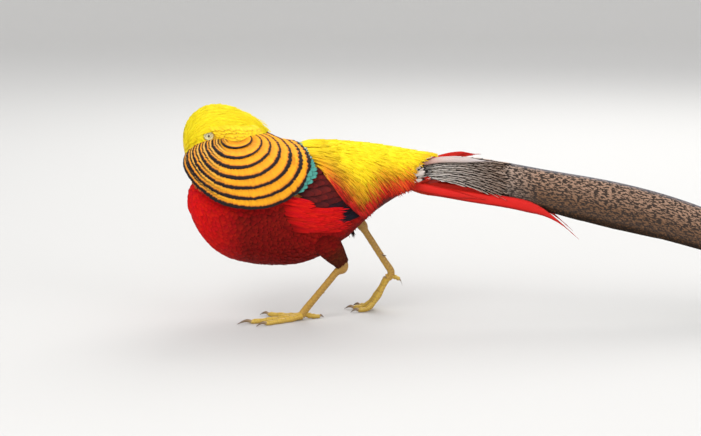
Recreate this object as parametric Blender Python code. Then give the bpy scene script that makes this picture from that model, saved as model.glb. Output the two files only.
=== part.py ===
# A golden pheasant cock, life size, standing with its cape fanned over the near cheek.
# Metres, +Z up. The bird faces -X, its left side is at -Y, and it stands on z = 0.

import math
import random

import bmesh
import bpy
from mathutils import Matrix, Vector

GAP = 0.0003
FLAT_ANGLE = 1.0
# How far a feather's one edge is raised over its neighbour, as a share of its half width
FEATHER_ROLL = 0.04
COLLECTION_NAME = "golden_pheasant"

# Trunk from breast to tail base: place along x, top, underside, half width
TRUNK_STATIONS = [
    (-0.1710, 0.1470, 0.1150, 0.0130),
    (-0.1660, 0.1530, 0.1020, 0.0260),
    (-0.1550, 0.1580, 0.0850, 0.0370),
    (-0.1380, 0.1630, 0.0705, 0.0450),
    (-0.1150, 0.1710, 0.0630, 0.0495),
    (-0.0880, 0.1790, 0.0600, 0.0510),
    (-0.0600, 0.1830, 0.0610, 0.0500),
    (-0.0350, 0.1840, 0.0690, 0.0480),
    (-0.0100, 0.1835, 0.0860, 0.0445),
    (0.0080, 0.1820, 0.1020, 0.0410),
    (0.0250, 0.1800, 0.1180, 0.0360),
    (0.0420, 0.1775, 0.1300, 0.0310),
    (0.0620, 0.1740, 0.1410, 0.0250),
    (0.0800, 0.1710, 0.1470, 0.0190),
    (0.1040, 0.1680, 0.1530, 0.0120),
]
BREAST_TIP = Vector((-0.1732, 0.0, 0.1310))
TRUNK_ROUNDNESS = 2.15
TRUNK_SIDES = 24
TAIL_CUT_X = 0.062
RUMP_CUT_TOP = Vector((-0.050, 0.0, 0.190))
RUMP_CUT_FOOT = Vector((0.004, 0.0, 0.090))

# Head: the eye's middle is its zero, and it looks forward and down
EYE_HEIGHT = 0.199
EYE_X = -0.150
HEAD_PITCH = math.radians(30)
EYE_RADIUS = 0.0043
EYE_OUT = 0.0118
# Along the head from the nape: place, half width, half height, rise of the middle
HEAD_STATIONS = [
    (-0.0250, 0.0080, 0.0080, -0.0010),
    (-0.0190, 0.0125, 0.0125, 0.0010),
    (-0.0090, 0.0150, 0.0150, 0.0020),
    (0.0020, 0.0142, 0.0145, 0.0010),
    (0.0100, 0.0108, 0.0115, -0.0015),
    (0.0150, 0.0074, 0.0092, -0.0032),
]
HEAD_SIDES = 18
# The bare lid round each eye: its ring's radius, its own radius and how far out it lies
LID_RING = 0.0050
LID_RADIUS = 0.0011
LID_OUT = 0.0139
BILL_LENGTH = 0.0225
BILL_HALF_WIDTH = 0.0052
BILL_UPPER_HEIGHT = 0.0066
BILL_LOWER_HEIGHT = 0.0034
BILL_TIP_WIDTH = 0.0008
BILL_TIP_HEIGHT = 0.0010
BILL_BEND = 0.0040
BILL_TIP_DROP = 0.0052
MOUTH_DROP = 0.0018
# Nostrils: place along the bill from its base, height over the mouth line, radius and inner end
NOSTRIL_ALONG = 0.0048
NOSTRIL_UP = 0.0026
NOSTRIL_RADIUS = 0.0009
NOSTRIL_DEEP = 0.0042

# Crest dome over the head: its middle and its reach forward, back, sideways, up and down
CREST_MIDDLE = Vector((-0.143, 0.0, 0.190))
CREST_REACHES = (0.0375, 0.0610, 0.0360, 0.0410, 0.0410)
CREST_ROUNDNESS = 2.1
CREST_RIM_HEIGHT = 0.2065
CREST_RIM_OVER_EYE = 0.0050

# Cape round the neck: its middle and its reach forward, back, sideways, up and down
CAPE_MIDDLE = Vector((-0.112, 0.0, 0.160))
CAPE_REACHES = (0.0680, 0.0880, 0.0660, 0.0410, 0.0720)
CAPE_ROUNDNESS = 2.3
CAPE_FEATHER_SKIN = 0.0007
CAPE_CLEARANCE = 0.0022
# The neck inside the cape, in the same five directions
CAPE_CORE = (0.0580, 0.0480, 0.0570, 0.0360, 0.0450)
# The tiers spread from this pole, out beside the cheek, and this is each tier's share of the way
CAPE_POLE = Vector((-0.010, -0.030, 0.043)).normalized()
CAPE_TIERS = {"left": (0.26, 0.46, 0.65, 0.83, 1.00), "right": (0.52, 0.76, 1.00)}
CAPE_SPREAD = {"left": (-112.0, 44.0), "right": (-112.0, 0.0)}
CAPE_LOW_SPREAD = {"left": (-128.0, 86.0), "right": (-140.0, 28.0)}
# How far from the pole the last tier ends, both in degrees: 0 is down, 90 forward and -90 back
CAPE_EDGES = (
    (-140.0, 64.0),
    (-120.0, 59.0),
    (-100.0, 67.0),
    (-80.0, 77.7),
    (-60.0, 85.0),
    (-40.0, 85.7),
    (-20.0, 82.0),
    (0.0, 75.3),
    (20.0, 66.2),
    (40.0, 60.0),
    (60.0, 59.0),
    (80.0, 62.0),
    (100.0, 72.0),
)
CAPE_EDGE = 76.0
CAPE_FEATHER_SPACING = {"left": 0.0172, "right": 0.0215}
CAPE_FEATHER_LENGTH = 0.030
CAPE_ROOT_DEPTH = 0.0020
CAPE_MEAN_RADIUS = 0.062
CAPE_EDGE_RADIUS = 0.066
CAPE_STEP_OUT = 0.0002
CAPE_BACK_LENGTH = 0.016
CAPE_OVER_TRUNK = 0.0072
CAPE_VANE = ((0.0, 0.60), (0.55, 1.0), (1.0, 0.72))

BODY_FEATHER_SKIN = 0.0007

# Mantle: green feathers that lie over the shoulders behind the cape
MANTLE_TIERS = ((-0.080, -0.047, 6), (-0.072, -0.037, 7))
MANTLE_REACH = 60.0
MANTLE_HALF_WIDTH = 0.0085
MANTLE_LIFTS = (-0.0018, 0.0030, 0.0042)
MANTLE_CLEARANCE = 0.0060

# Crest plumes: where each tier starts and ends on the way from forehead to nape, in degrees
CREST_POLE = Vector((-0.97, 0.0, -0.243)).normalized()
CREST_TIERS = (
    (26.0, 84.0, 6, 58.0),
    (56.0, 118.0, 8, 92.0),
    (92.0, 150.0, 8, 92.0),
    (118.0, 171.0, 6, 80.0),
)
# How far along a plume each row lies, its share of the width and of the dome's radius
CREST_VANE = ((0.0, 0.45, 0.82), (0.35, 0.95, 0.91), (0.70, 0.90, 0.975), (1.0, 0.08, 1.0))
CREST_FEATHER_SKIN = 0.0009
CREST_CORE_SHARE = 0.86
# The crest is slim over the face and full over the nape: places and share of its width
CREST_FACE_X = -0.162
CREST_NAPE_X = -0.108
CREST_FACE_SHARE = 0.50
CREST_FEATHER_WIDTH = 0.0165

# Golden plumes of the back: tiers by root angle, tip angle, first and last root, count
RUMP_TIERS = (
    (6.0, 14.0, -0.040, 0.054, 5, 0.0092),
    (20.0, 44.0, -0.038, 0.053, 5, 0.0092),
    (34.0, 80.0, -0.034, 0.049, 5, 0.0092),
    (46.0, 112.0, -0.018, 0.045, 5, 0.0088),
)
HANG_PER_DEGREE = 0.001
RUMP_ROOT_DEPTH = 0.0016
RUMP_FEATHER_RUN = 0.036
RUMP_FEATHER_WIDTH = 0.0130

# Folded wing: tiers of feathers by root, tip, first angle, last angle, count, lift, width
WING_TIERS = (
    (-0.047, -0.024, 72.0, 98.0, 3, (0.0013, 0.0034), 0.0140),
    (-0.036, -0.004, 83.0, 105.0, 3, (0.0012, 0.0029), 0.0125),
    (-0.024, 0.016, 91.0, 110.0, 3, (0.0011, 0.0024), 0.0105),
    (-0.016, 0.030, 104.0, 118.0, 2, (0.0011, 0.0019), 0.0090),
)
# The arm under them: place along x, its upper edge's angle and its thickness
WING_ARM = (
    (-0.052, 66.0, 0.0011),
    (-0.044, 66.0, 0.0024),
    (-0.036, 69.0, 0.0028),
    (-0.024, 76.0, 0.0026),
    (-0.010, 87.0, 0.0018),
)
WING_ARM_FOOT = 102.0
WING_CLEARANCE = 0.0005
WING_TIP_SHIFT = 0.004

# Tail: place along x, height of the ridge, half width and drop of the roof's edge
TAIL_STATIONS = [
    (0.080, 0.1665, 0.0140, 0.0130),
    (0.100, 0.1722, 0.0185, 0.0210),
    (0.130, 0.1732, 0.0210, 0.0285),
    (0.207, 0.1604, 0.0235, 0.0400),
    (0.278, 0.1485, 0.0245, 0.0460),
    (0.347, 0.1300, 0.0240, 0.0445),
    (0.430, 0.1010, 0.0225, 0.0400),
    (0.520, 0.0690, 0.0190, 0.0330),
    (0.600, 0.0425, 0.0140, 0.0230),
    (0.655, 0.0260, 0.0060, 0.0100),
]
TAIL_TIP_X = 0.672
TAIL_SECOND_TIP_X = 0.637
TAIL_ROOT_ROWS = (0.080, 0.098, 0.104)
TAIL_ROWS = (
    0.080, 0.100, 0.130, 0.165, 0.205, 0.245, 0.285, 0.325, 0.365, 0.410, 0.455, 0.500, 0.545, 0.590, 0.625,
    0.650,
)
# Straight down, as the roof is steep; across it these are about half as much
TAIL_SKIN = 0.0014
TAIL_LAYER = 0.0024
# Side tail feathers: each pair's tip along x, from the longest to the shortest
TAIL_SIDE_TIPS = (0.520, 0.425, 0.345, 0.275, 0.215, 0.165)
COVERT_TIERS = ((0.082, 0.132, (0.16, 0.48, 0.80)), (0.097, 0.163, (0.30, 0.64)))
COVERT_WIDTH = 0.0135
COVERT_LIFTS = (-0.0030, 0.0014, 0.0016)
COVERT_SKIN = 0.0010
# Scarlet plumes beside the tail: along x, out to the side, height, half width
PLUME_SKIN = 0.0008
PLUME_LONG = (
    (0.072, 0.0100, 0.1560, 0.0030), (0.100, 0.0212, 0.1470, 0.0050), (0.127, 0.0240, 0.1400, 0.0052),
    (0.165, 0.0262, 0.1330, 0.0050), (0.205, 0.0272, 0.1230, 0.0040), (0.242, 0.0262, 0.0930, 0.0004),
)
PLUME_SHORT = (
    (0.070, 0.0120, 0.1600, 0.0030), (0.094, 0.0218, 0.1560, 0.0050), (0.118, 0.0246, 0.1520, 0.0046),
    (0.150, 0.0262, 0.1470, 0.0004),
)
PLUME_HIGH = (
    (0.074, 0.0070, 0.1610, 0.0030), (0.095, 0.0165, 0.1690, 0.0042), (0.115, 0.0185, 0.1742, 0.0040),
    (0.140, 0.0195, 0.1748, 0.0004),
)

# Legs: the near one carries the bird, the far one pushes off
HOCK = {"left": Vector((-0.008, -0.024, 0.062)), "right": Vector((0.010, 0.026, 0.099))}
FOOT_JOINT = {"left": Vector((-0.050, -0.016, 0.009)), "right": Vector((0.047, 0.030, 0.040))}
THIGH_ROOT = {"left": Vector((-0.036, -0.026, 0.100)), "right": Vector((-0.020, 0.027, 0.128))}
SHANK_RADIUS = 0.0036
HOCK_RADIUS = 0.0056
# Thigh rows: share of the way from its root to the hock, and radius
THIGH_ROWS = ((0.0, 0.0170), (0.3, 0.0160), (0.6, 0.0120), (0.85, 0.0085), (0.92, 0.0072))
THIGH_SIDES = 14
# Spur: how far down the shank it sits, and its rows by reach and radius
SPUR_SHARE = 0.62
SPUR_ROWS = ((0.0, 0.0019), (0.0050, 0.0014), (0.0085, 0.0004))
SCUTES = 8
SCUTE_HEIGHT = 0.0005
# Toes: how far along from the ball to the claw's tip each row lies, and its radius there
BALL_RADIUS = 0.0046
FOOT_RADIUS = 0.0040
TOE_SIDES = 6
TOE_SHARES = (0.0, 0.25, 0.50, 0.76, 0.85, 1.0)
TOE_RADII = (0.0040, 0.0036, 0.0032, 0.0026, 0.0018, 0.0003)
TOE_HEIGHTS = {
    "flat": (0.0045, 0.0026, 0.0022, 0.0019, 0.0026, 0.0004),
    "pushing": (0.0360, 0.0165, 0.0042, 0.0020, 0.0026, 0.0004),
    "hind": (0.0060, 0.0036, 0.0024, 0.0018, 0.0022, 0.0004),
    "lifted": (0.0380, 0.0380, 0.0370, 0.0350, 0.0335, 0.0280),
}
# Each toe: where it leaves the ball and where its claw ends, as x and y, its heights and its thickness
TOES = {
    "left": (
        ((-0.0530, -0.0175), (-0.1210, -0.0412), "flat", 1.00),
        ((-0.0530, -0.0190), (-0.1000, -0.0510), "flat", 0.93),
        ((-0.0530, -0.0160), (-0.0990, 0.0050), "flat", 0.93),
        ((-0.0490, -0.0150), (-0.0290, -0.0070), "hind", 0.78),
    ),
    "right": (
        ((0.0400, 0.0300), (-0.0070, 0.0340), "pushing", 0.95),
        ((0.0400, 0.0315), (0.0020, 0.0490), "pushing", 0.90),
        ((0.0400, 0.0285), (0.0000, 0.0165), "pushing", 0.90),
        ((0.0420, 0.0300), (0.0570, 0.0285), "lifted", 0.75),
    ),
}

COLOURS = {
    "crest": ((0.95, 0.70, 0.03), 0.55),
    "face": ((0.62, 0.40, 0.16), 0.70),
    "bill": ((0.66, 0.52, 0.26), 0.35),
    "eye": ((0.86, 0.80, 0.45), 0.10),
    "cape": ((0.90, 0.42, 0.04), 0.55),
    "breast": ((0.55, 0.01, 0.01), 0.60),
    "rump": ((0.95, 0.66, 0.02), 0.50),
    "wing": ((0.16, 0.02, 0.02), 0.55),
    "tail": ((0.30, 0.20, 0.13), 0.60),
    "thigh": ((0.16, 0.04, 0.02), 0.70),
    "leg": ((0.58, 0.38, 0.09), 0.45),
}


def clear_scene():
    for thing in list(bpy.data.objects):
        bpy.data.objects.remove(thing, do_unlink=True)


def make_collection(name):
    group = bpy.data.collections.new(name)
    bpy.context.scene.collection.children.link(group)
    return group


def make_material(name):
    colour, roughness = COLOURS[name]
    material = bpy.data.materials.get(name)
    if material:
        return material
    material = bpy.data.materials.new(name)
    material.use_nodes = True
    shader = material.node_tree.nodes["Principled BSDF"]
    shader.inputs["Base Color"].default_value = (*colour, 1.0)
    shader.inputs["Roughness"].default_value = roughness
    shader.inputs["Metallic"].default_value = 0.0
    return material


def smooth_row(stations, x):
    """Reads a table of sizes at x, with a smooth curve through its rows."""
    count = len(stations)
    if x <= stations[0][0]:
        return stations[0][1:]
    if x >= stations[-1][0]:
        return stations[-1][1:]
    i = max(k for k in range(count - 1) if stations[k][0] <= x)
    low, high = stations[i], stations[i + 1]
    before = stations[max(i - 1, 0)]
    after = stations[min(i + 2, count - 1)]
    span = high[0] - low[0]
    t = (x - low[0]) / span
    row = []
    for k in range(1, len(low)):
        slope_low = (high[k] - before[k]) / (high[0] - before[0]) * span
        slope_high = (after[k] - low[k]) / (after[0] - low[0]) * span
        row.append(
            (2 * t**3 - 3 * t**2 + 1) * low[k]
            + (t**3 - 2 * t**2 + t) * slope_low
            + (3 * t**2 - 2 * t**3) * high[k]
            + (t**3 - t**2) * slope_high
        )
    return tuple(row)


def rounded(value, power):
    return math.copysign(abs(value) ** power, value)


def trunk_point(x, angle, grow=0.0):
    """A point on the trunk: angle 0 is the top, 90 the left side, -90 the right."""
    top, foot, half_width = smooth_row(TRUNK_STATIONS, x)
    middle = (top + foot) / 2
    half_height = (top - foot) / 2 + grow
    turn = math.radians(angle)
    power = 2 / TRUNK_ROUNDNESS
    across = -(half_width + grow) * rounded(math.sin(turn), power)
    return Vector((x, across, middle + half_height * rounded(math.cos(turn), power)))


def loft(rings, start=None, end=None):
    """Joins rings of points into one closed mesh, ended by points or flat faces."""
    shape = bmesh.new()
    rows = [[shape.verts.new(point) for point in ring] for ring in rings]
    sides = len(rings[0])
    for low, high in zip(rows, rows[1:]):
        for k in range(sides):
            after = (k + 1) % sides
            shape.faces.new((low[k], high[k], high[after], low[after]))
    for row, tip in ((rows[0], start), (rows[-1], end)):
        if tip is None:
            shape.faces.new(row)
            continue
        point = shape.verts.new(tip)
        for k in range(sides):
            shape.faces.new((row[k], row[(k + 1) % sides], point))
    bmesh.ops.recalc_face_normals(shape, faces=shape.faces)
    return shape


def add_node(name, shape, material):
    """Turns a bmesh into the named object of the pheasant."""
    bmesh.ops.triangulate(shape, faces=[f for f in shape.faces if len(f.verts) > 4])
    mesh = bpy.data.meshes.new(name)
    shape.to_mesh(mesh)
    shape.free()
    thing = bpy.data.objects.new(name, mesh)
    mesh.materials.append(make_material(material))
    for polygon in mesh.polygons:
        polygon.use_smooth = True
    bpy.data.collections[COLLECTION_NAME].objects.link(thing)
    return thing


def bake(thing):
    """Applies the modifiers of an object."""
    graph = bpy.context.evaluated_depsgraph_get()
    mesh = bpy.data.meshes.new_from_object(thing.evaluated_get(graph))
    thing.modifiers.clear()
    thing.data = mesh


def keep_largest(thing):
    """Keeps only the largest closed surface of an object."""
    shape = bmesh.new()
    shape.from_mesh(thing.data)
    left = set(shape.verts)
    islands = []
    while left:
        seed = left.pop()
        island = {seed}
        front = [seed]
        while front:
            vert = front.pop()
            for edge in vert.link_edges:
                other = edge.other_vert(vert)
                if other in left:
                    left.discard(other)
                    island.add(other)
                    front.append(other)
        islands.append(island)
    islands.sort(key=len)
    for island in islands[:-1]:
        bmesh.ops.delete(shape, geom=list(island), context="VERTS")
    shape.to_mesh(thing.data)
    shape.free()


def cut_away(thing, shape):
    """Cuts a closed form out of an object, and drops what falls off."""
    mesh = bpy.data.meshes.new("cutter")
    bmesh.ops.triangulate(shape, faces=[f for f in shape.faces if len(f.verts) > 4])
    shape.to_mesh(mesh)
    shape.free()
    cutter = bpy.data.objects.new("cutter", mesh)
    bpy.context.scene.collection.objects.link(cutter)
    cut = thing.modifiers.new("cut", "BOOLEAN")
    cut.operation = "DIFFERENCE"
    cut.solver = "MANIFOLD"
    cut.object = cutter
    bake(thing)
    bpy.data.objects.remove(cutter, do_unlink=True)
    keep_largest(thing)


def join_pieces(thing, pieces):
    """Fuses closed pieces into an object with one union, and keeps one closed body."""
    group = make_collection("pieces")
    for piece in pieces:
        mesh = bpy.data.meshes.new("piece")
        bmesh.ops.triangulate(piece, faces=[f for f in piece.faces if len(f.verts) > 3])
        piece.to_mesh(mesh)
        piece.free()
        group.objects.link(bpy.data.objects.new("piece", mesh))
    union = thing.modifiers.new("union", "BOOLEAN")
    union.operation = "UNION"
    union.solver = "MANIFOLD"
    union.operand_type = "COLLECTION"
    union.collection = group
    bake(thing)
    for piece in list(group.objects):
        bpy.data.objects.remove(piece, do_unlink=True)
    bpy.data.collections.remove(group)
    keep_largest(thing)
    merge_flat_faces(thing)


def merge_flat_faces(thing):
    """Takes out the edges that a union leaves across flat faces."""
    shape = bmesh.new()
    shape.from_mesh(thing.data)
    bmesh.ops.dissolve_limit(
        shape, angle_limit=math.radians(FLAT_ANGLE), verts=shape.verts, edges=shape.edges
    )
    bmesh.ops.triangulate(shape, faces=shape.faces)
    if all(len(edge.link_faces) == 2 for edge in shape.edges):
        shape.to_mesh(thing.data)
    shape.free()


def vane(spine, outs, half_widths, thickness, roll=0.0):
    """A closed thin blade along a spine. Each row has a left and a right edge, and both
    faces are split into the same triangles. A roll lifts one edge over its neighbour."""
    shape = bmesh.new()
    high, low = [], []
    last = len(spine) - 1
    for k, point in enumerate(spine):
        along = (spine[min(k + 1, last)] - spine[max(k - 1, 0)]).normalized()
        across = along.cross(outs[k]).normalized()
        out = across.cross(along).normalized()
        lean = out * roll * half_widths[k]
        edges = (point - across * half_widths[k] - lean, point + across * half_widths[k] + lean)
        high.append([shape.verts.new(edge) for edge in edges])
        low.append([shape.verts.new(edge - out * thickness) for edge in edges])
    for grid in (high, low):
        for a, b in zip(grid, grid[1:]):
            shape.faces.new((a[0], b[0], b[1]))
            shape.faces.new((a[0], b[1], a[1]))
    for column in (0, 1):
        for k in range(last):
            shape.faces.new((high[k][column], high[k + 1][column], low[k + 1][column], low[k][column]))
    for k in (0, last):
        shape.faces.new((high[k][0], high[k][1], low[k][1], low[k][0]))
    bmesh.ops.recalc_face_normals(shape, faces=shape.faces)
    return shape


def slice_off(shape, point, normal):
    """Takes off what lies on the normal's side of a plane and closes the cut."""
    geometry = list(shape.verts) + list(shape.edges) + list(shape.faces)
    bmesh.ops.bisect_plane(
        shape, geom=geometry, dist=1e-7, plane_co=point, plane_no=normal, clear_outer=True
    )
    edges = [edge for edge in shape.edges if edge.is_boundary]
    bmesh.ops.holes_fill(shape, edges=edges, sides=0)
    bmesh.ops.recalc_face_normals(shape, faces=shape.faces)


def trunk_ring(x, grow=0.0):
    step = 360 / TRUNK_SIDES
    return [trunk_point(x, k * step, grow) for k in range(TRUNK_SIDES)]


def trunk_shape(first_x, last_x, grow=0.0):
    """The trunk's form between two places, with the breast's tip where it begins there."""
    places = [row[0] for row in TRUNK_STATIONS if first_x < row[0] < last_x]
    places = [first_x] + places + [last_x]
    start = BREAST_TIP - Vector((grow, 0, 0)) if first_x <= TRUNK_STATIONS[0][0] else None
    return loft([trunk_ring(x, grow) for x in places], start=start)


def cut_normal():
    line = RUMP_CUT_FOOT - RUMP_CUT_TOP
    return Vector((-line.z, 0.0, line.x)).normalized()


def head_point(along, across, up):
    """A place on the head, measured from the eyes along the bill, sideways and up."""
    forward = Vector((-math.cos(HEAD_PITCH), 0, -math.sin(HEAD_PITCH)))
    lift = Vector((-math.sin(HEAD_PITCH), 0, math.cos(HEAD_PITCH)))
    return Vector((EYE_X, across, EYE_HEIGHT)) + forward * along + lift * up


def head_shape(grow=0.0):
    rings = []
    for along, half_width, half_height, rise in HEAD_STATIONS:
        ring = []
        for k in range(HEAD_SIDES):
            turn = 2 * math.pi * k / HEAD_SIDES
            across = (half_width + grow) * math.sin(turn)
            ring.append(head_point(along, across, rise + (half_height + grow) * math.cos(turn)))
        rings.append(ring)
    first, last = HEAD_STATIONS[0], HEAD_STATIONS[-1]
    back = head_point(first[0] - first[2] * 0.5 - grow, 0, first[3])
    front = head_point(last[0] + grow, 0, last[3]) if grow else None
    return loft(rings, start=back, end=front)


def ball(middle, radius, segments=12, rings=8):
    shape = bmesh.new()
    bmesh.ops.create_uvsphere(
        shape,
        u_segments=segments,
        v_segments=rings,
        radius=radius,
        matrix=Matrix.Translation(middle) @ Matrix.Rotation(math.pi / 2, 4, "X"),
    )
    return shape


def dome_radius(direction, reaches, roundness):
    """How far a form of unlike reaches goes from its middle in a direction."""
    front, back, side, up, down = reaches
    parts = (
        abs(direction.x) / (front if direction.x < 0 else back),
        abs(direction.y) / side,
        abs(direction.z) / (up if direction.z > 0 else down),
    )
    return sum(part**roundness for part in parts) ** (-1 / roundness)


def dome_shape(middle, reaches, roundness, rings, sides, grow=0.0):
    """A closed form of unlike reaches round a middle."""
    shape = bmesh.new()
    bmesh.ops.create_uvsphere(shape, u_segments=sides, v_segments=rings, radius=1.0)
    for vert in shape.verts:
        direction = vert.co.normalized()
        vert.co = middle + direction * (dome_radius(direction, reaches, roundness) + grow)
    return shape


def ring_shape(middle, ring_radius, radius, steps=14, sides=5):
    """A closed ring round a line that points sideways."""
    shape = bmesh.new()
    rows = []
    for k in range(steps):
        turn = 2 * math.pi * k / steps
        out = Vector((math.cos(turn), 0, math.sin(turn)))
        row = []
        for j in range(sides):
            bend = 2 * math.pi * j / sides
            offset = out * (ring_radius + radius * math.cos(bend)) + Vector((0, radius * math.sin(bend), 0))
            row.append(shape.verts.new(middle + offset))
        rows.append(row)
    for k in range(steps):
        low, high = rows[k], rows[(k + 1) % steps]
        for j in range(sides):
            after = (j + 1) % sides
            shape.faces.new((low[j], high[j], high[after], low[after]))
    bmesh.ops.recalc_face_normals(shape, faces=shape.faces)
    return shape


def make_head():
    """The head with its lids, and the eyes set in its sockets."""
    head = add_node("head", head_shape(), "face")
    lids = [ring_shape(head_point(0, side * LID_OUT, 0), LID_RING, LID_RADIUS) for side in (-1, 1)]
    join_pieces(head, lids)
    for side, name in ((-1, "left"), (1, "right")):
        middle = head_point(0, side * EYE_OUT, 0)
        cut_away(head, ball(middle, EYE_RADIUS + GAP))
        add_node("eye_" + name, ball(middle, EYE_RADIUS), "eye")


def bill_shape(upper, grow=0.0):
    """One half of the bill, curved down to its tip."""
    base = HEAD_STATIONS[-1]
    start = base[0] + GAP - grow
    length = (BILL_LENGTH if upper else BILL_LENGTH * 0.86) + 2 * grow
    rings = []
    steps = 6
    for k in range(steps):
        t = k / steps
        narrow = 1 - t**1.6
        half_width = BILL_HALF_WIDTH * narrow + BILL_TIP_WIDTH + grow
        height = (BILL_UPPER_HEIGHT if upper else BILL_LOWER_HEIGHT) * narrow + BILL_TIP_HEIGHT + 2 * grow
        bend = -BILL_BEND * t**2
        flat = base[3] - MOUTH_DROP + bend
        ring = []
        for j in range(9):
            turn = math.pi * j / 8
            rise = height * math.sin(turn) ** 0.9 * (1 if upper else -1)
            if j in (0, 8):
                rise = 0.0
            offset = (GAP / 2 - grow) * (1 if upper else -1)
            ring.append(head_point(start + t * length, half_width * math.cos(turn), flat + rise + offset))
        rings.append(ring)
    drop = -BILL_TIP_DROP if upper else -BILL_BEND * 1.1
    tip = head_point(start + length, 0, base[3] - MOUTH_DROP + drop + (GAP / 2 if upper else -GAP / 2))
    return loft(rings, end=tip)


def make_bill():
    """The bill in two halves with the mouth line between them, and a nostril on each side."""
    upper = add_node("bill_upper", bill_shape(True), "bill")
    along, mouth = HEAD_STATIONS[-1][0] + NOSTRIL_ALONG, HEAD_STATIONS[-1][3] - MOUTH_DROP
    for side in (-1, 1):
        places = [head_point(along, side * reach * NOSTRIL_DEEP, mouth + NOSTRIL_UP) for reach in (1, 2)]
        cut_away(upper, tube(places, (NOSTRIL_RADIUS, NOSTRIL_RADIUS), 8, side_line=Vector((1, 0, 0))))
    add_node("bill_lower", bill_shape(False), "bill")


def box_shape(low, high):
    shape = bmesh.new()
    middle = (low + high) / 2
    size = high - low
    matrix = Matrix.Translation(middle) @ Matrix.Diagonal((*size, 1.0))
    bmesh.ops.create_cube(shape, size=1.0, matrix=matrix)
    return shape


def polar_direction(pole, first, degrees_from_pole, degrees_around, side):
    """A direction at an angle from a pole, turned about it, mirrored for the right side."""
    second = first.cross(pole)
    tilt = math.radians(degrees_from_pole)
    turn = math.radians(degrees_around)
    flat = first * math.cos(turn) + second * math.sin(turn)
    direction = pole * math.cos(tilt) + flat * math.sin(tilt)
    return Vector((direction.x, -side * direction.y, direction.z))


def crest_direction(along, around):
    """Along is 0 at the forehead and 180 at the nape; around is 0 over the crown."""
    up = Vector((0, 0, 1))
    first = (up - CREST_POLE * up.dot(CREST_POLE)).normalized()
    return polar_direction(CREST_POLE, first, along, around, 1)


def crest_core():
    """The crown under the plumes, which reaches less than half way to their tips."""
    reaches = [reach * CREST_CORE_SHARE for reach in CREST_REACHES]
    core = dome_shape(CREST_MIDDLE, reaches, CREST_ROUNDNESS, 9, 16)
    below = box_shape(Vector((-0.30, -0.10, 0.05)), Vector((0.05, 0.10, CREST_RIM_HEIGHT)))
    rim = head_point(0, 0, CREST_RIM_OVER_EYE)
    slice_off(below, rim, head_point(0, 0, 1) - head_point(0, 0, 0))
    crest = add_node("crest", core, "crest")
    cut_away(crest, below)
    return crest


def slim_face(crest):
    """Draws the crest in over the face, so that the eyes lie free below its rim."""
    for vert in crest.data.vertices:
        t = min(max((vert.co.x - CREST_FACE_X) / (CREST_NAPE_X - CREST_FACE_X), 0.0), 1.0)
        t = t * t * (3 - 2 * t)
        vert.co.y *= CREST_FACE_SHARE + (1 - CREST_FACE_SHARE) * t


def make_crest():
    """Silky plumes in tiers from the forehead over the crown to the nape."""
    draw = random.Random(11)
    crest = crest_core()
    pieces = []
    for start, end, count, spread in CREST_TIERS:
        for k in range(count):
            around = spread * (2 * k / (count - 1) - 1) + draw.uniform(-2, 2)
            reach = end - draw.uniform(0, 6)
            spine, outs, widths = [], [], []
            for share, width, lift in CREST_VANE:
                direction = crest_direction(start + (reach - start) * share, around)
                radius = dome_radius(direction, CREST_REACHES, CREST_ROUNDNESS)
                spine.append(CREST_MIDDLE + direction * radius * lift)
                outs.append(direction)
                narrow = math.sin(math.radians(min(start + (reach - start) * share, 150)))
                widths.append(CREST_FEATHER_WIDTH / 2 * width * (0.35 + 0.65 * narrow))
            pieces.append(vane(spine, outs, widths, CREST_FEATHER_SKIN, FEATHER_ROLL))
    join_pieces(crest, pieces)
    slim_face(crest)
    cut_away(crest, head_shape(GAP))
    cut_away(crest, dome_shape(CAPE_MIDDLE, CAPE_REACHES, CAPE_ROUNDNESS, 16, 32, CAPE_CLEARANCE))
    cut_away(crest, bill_shape(True, 2 * GAP))
    for side in (-1, 1):
        cut_away(crest, ball(head_point(0, side * EYE_OUT, 0), LID_RING + LID_RADIUS + 4 * GAP))


def cape_direction(polar, around, side):
    """Polar is 0 at the cheek; around is 0 down, 90 forward and -90 back."""
    down = Vector((0, 0, -1))
    first = (down - CAPE_POLE * down.dot(CAPE_POLE)).normalized()
    return polar_direction(CAPE_POLE, first, polar, around, side)


def cape_edge(around):
    """How far from its pole the cape's last tier ends, in degrees."""
    return smooth_row(CAPE_EDGES, around)[0]


def in_trunk(place, grow):
    """Whether a place is inside the trunk grown by a distance."""
    top, foot, half_width = smooth_row(TRUNK_STATIONS, place.x)
    half_height = (top - foot) / 2 + grow
    rise = abs(place.z - (top + foot) / 2) / half_height
    across = abs(place.y) / (half_width + grow)
    return rise**TRUNK_ROUNDNESS + across**TRUNK_ROUNDNESS < 1


def cape_radius(direction, share):
    """How far out a feather lies: share 0 is its root in the core and 1 its tip."""
    core = dome_radius(direction, CAPE_CORE, CAPE_ROUNDNESS) - CAPE_ROOT_DEPTH
    dome = dome_radius(direction, CAPE_REACHES, CAPE_ROUNDNESS)
    radius = core + (dome - core) * share**0.8
    while share > 0.1 and in_trunk(CAPE_MIDDLE + direction * radius, CAPE_OVER_TRUNK):
        radius += CAPE_STEP_OUT
    return radius


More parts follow.
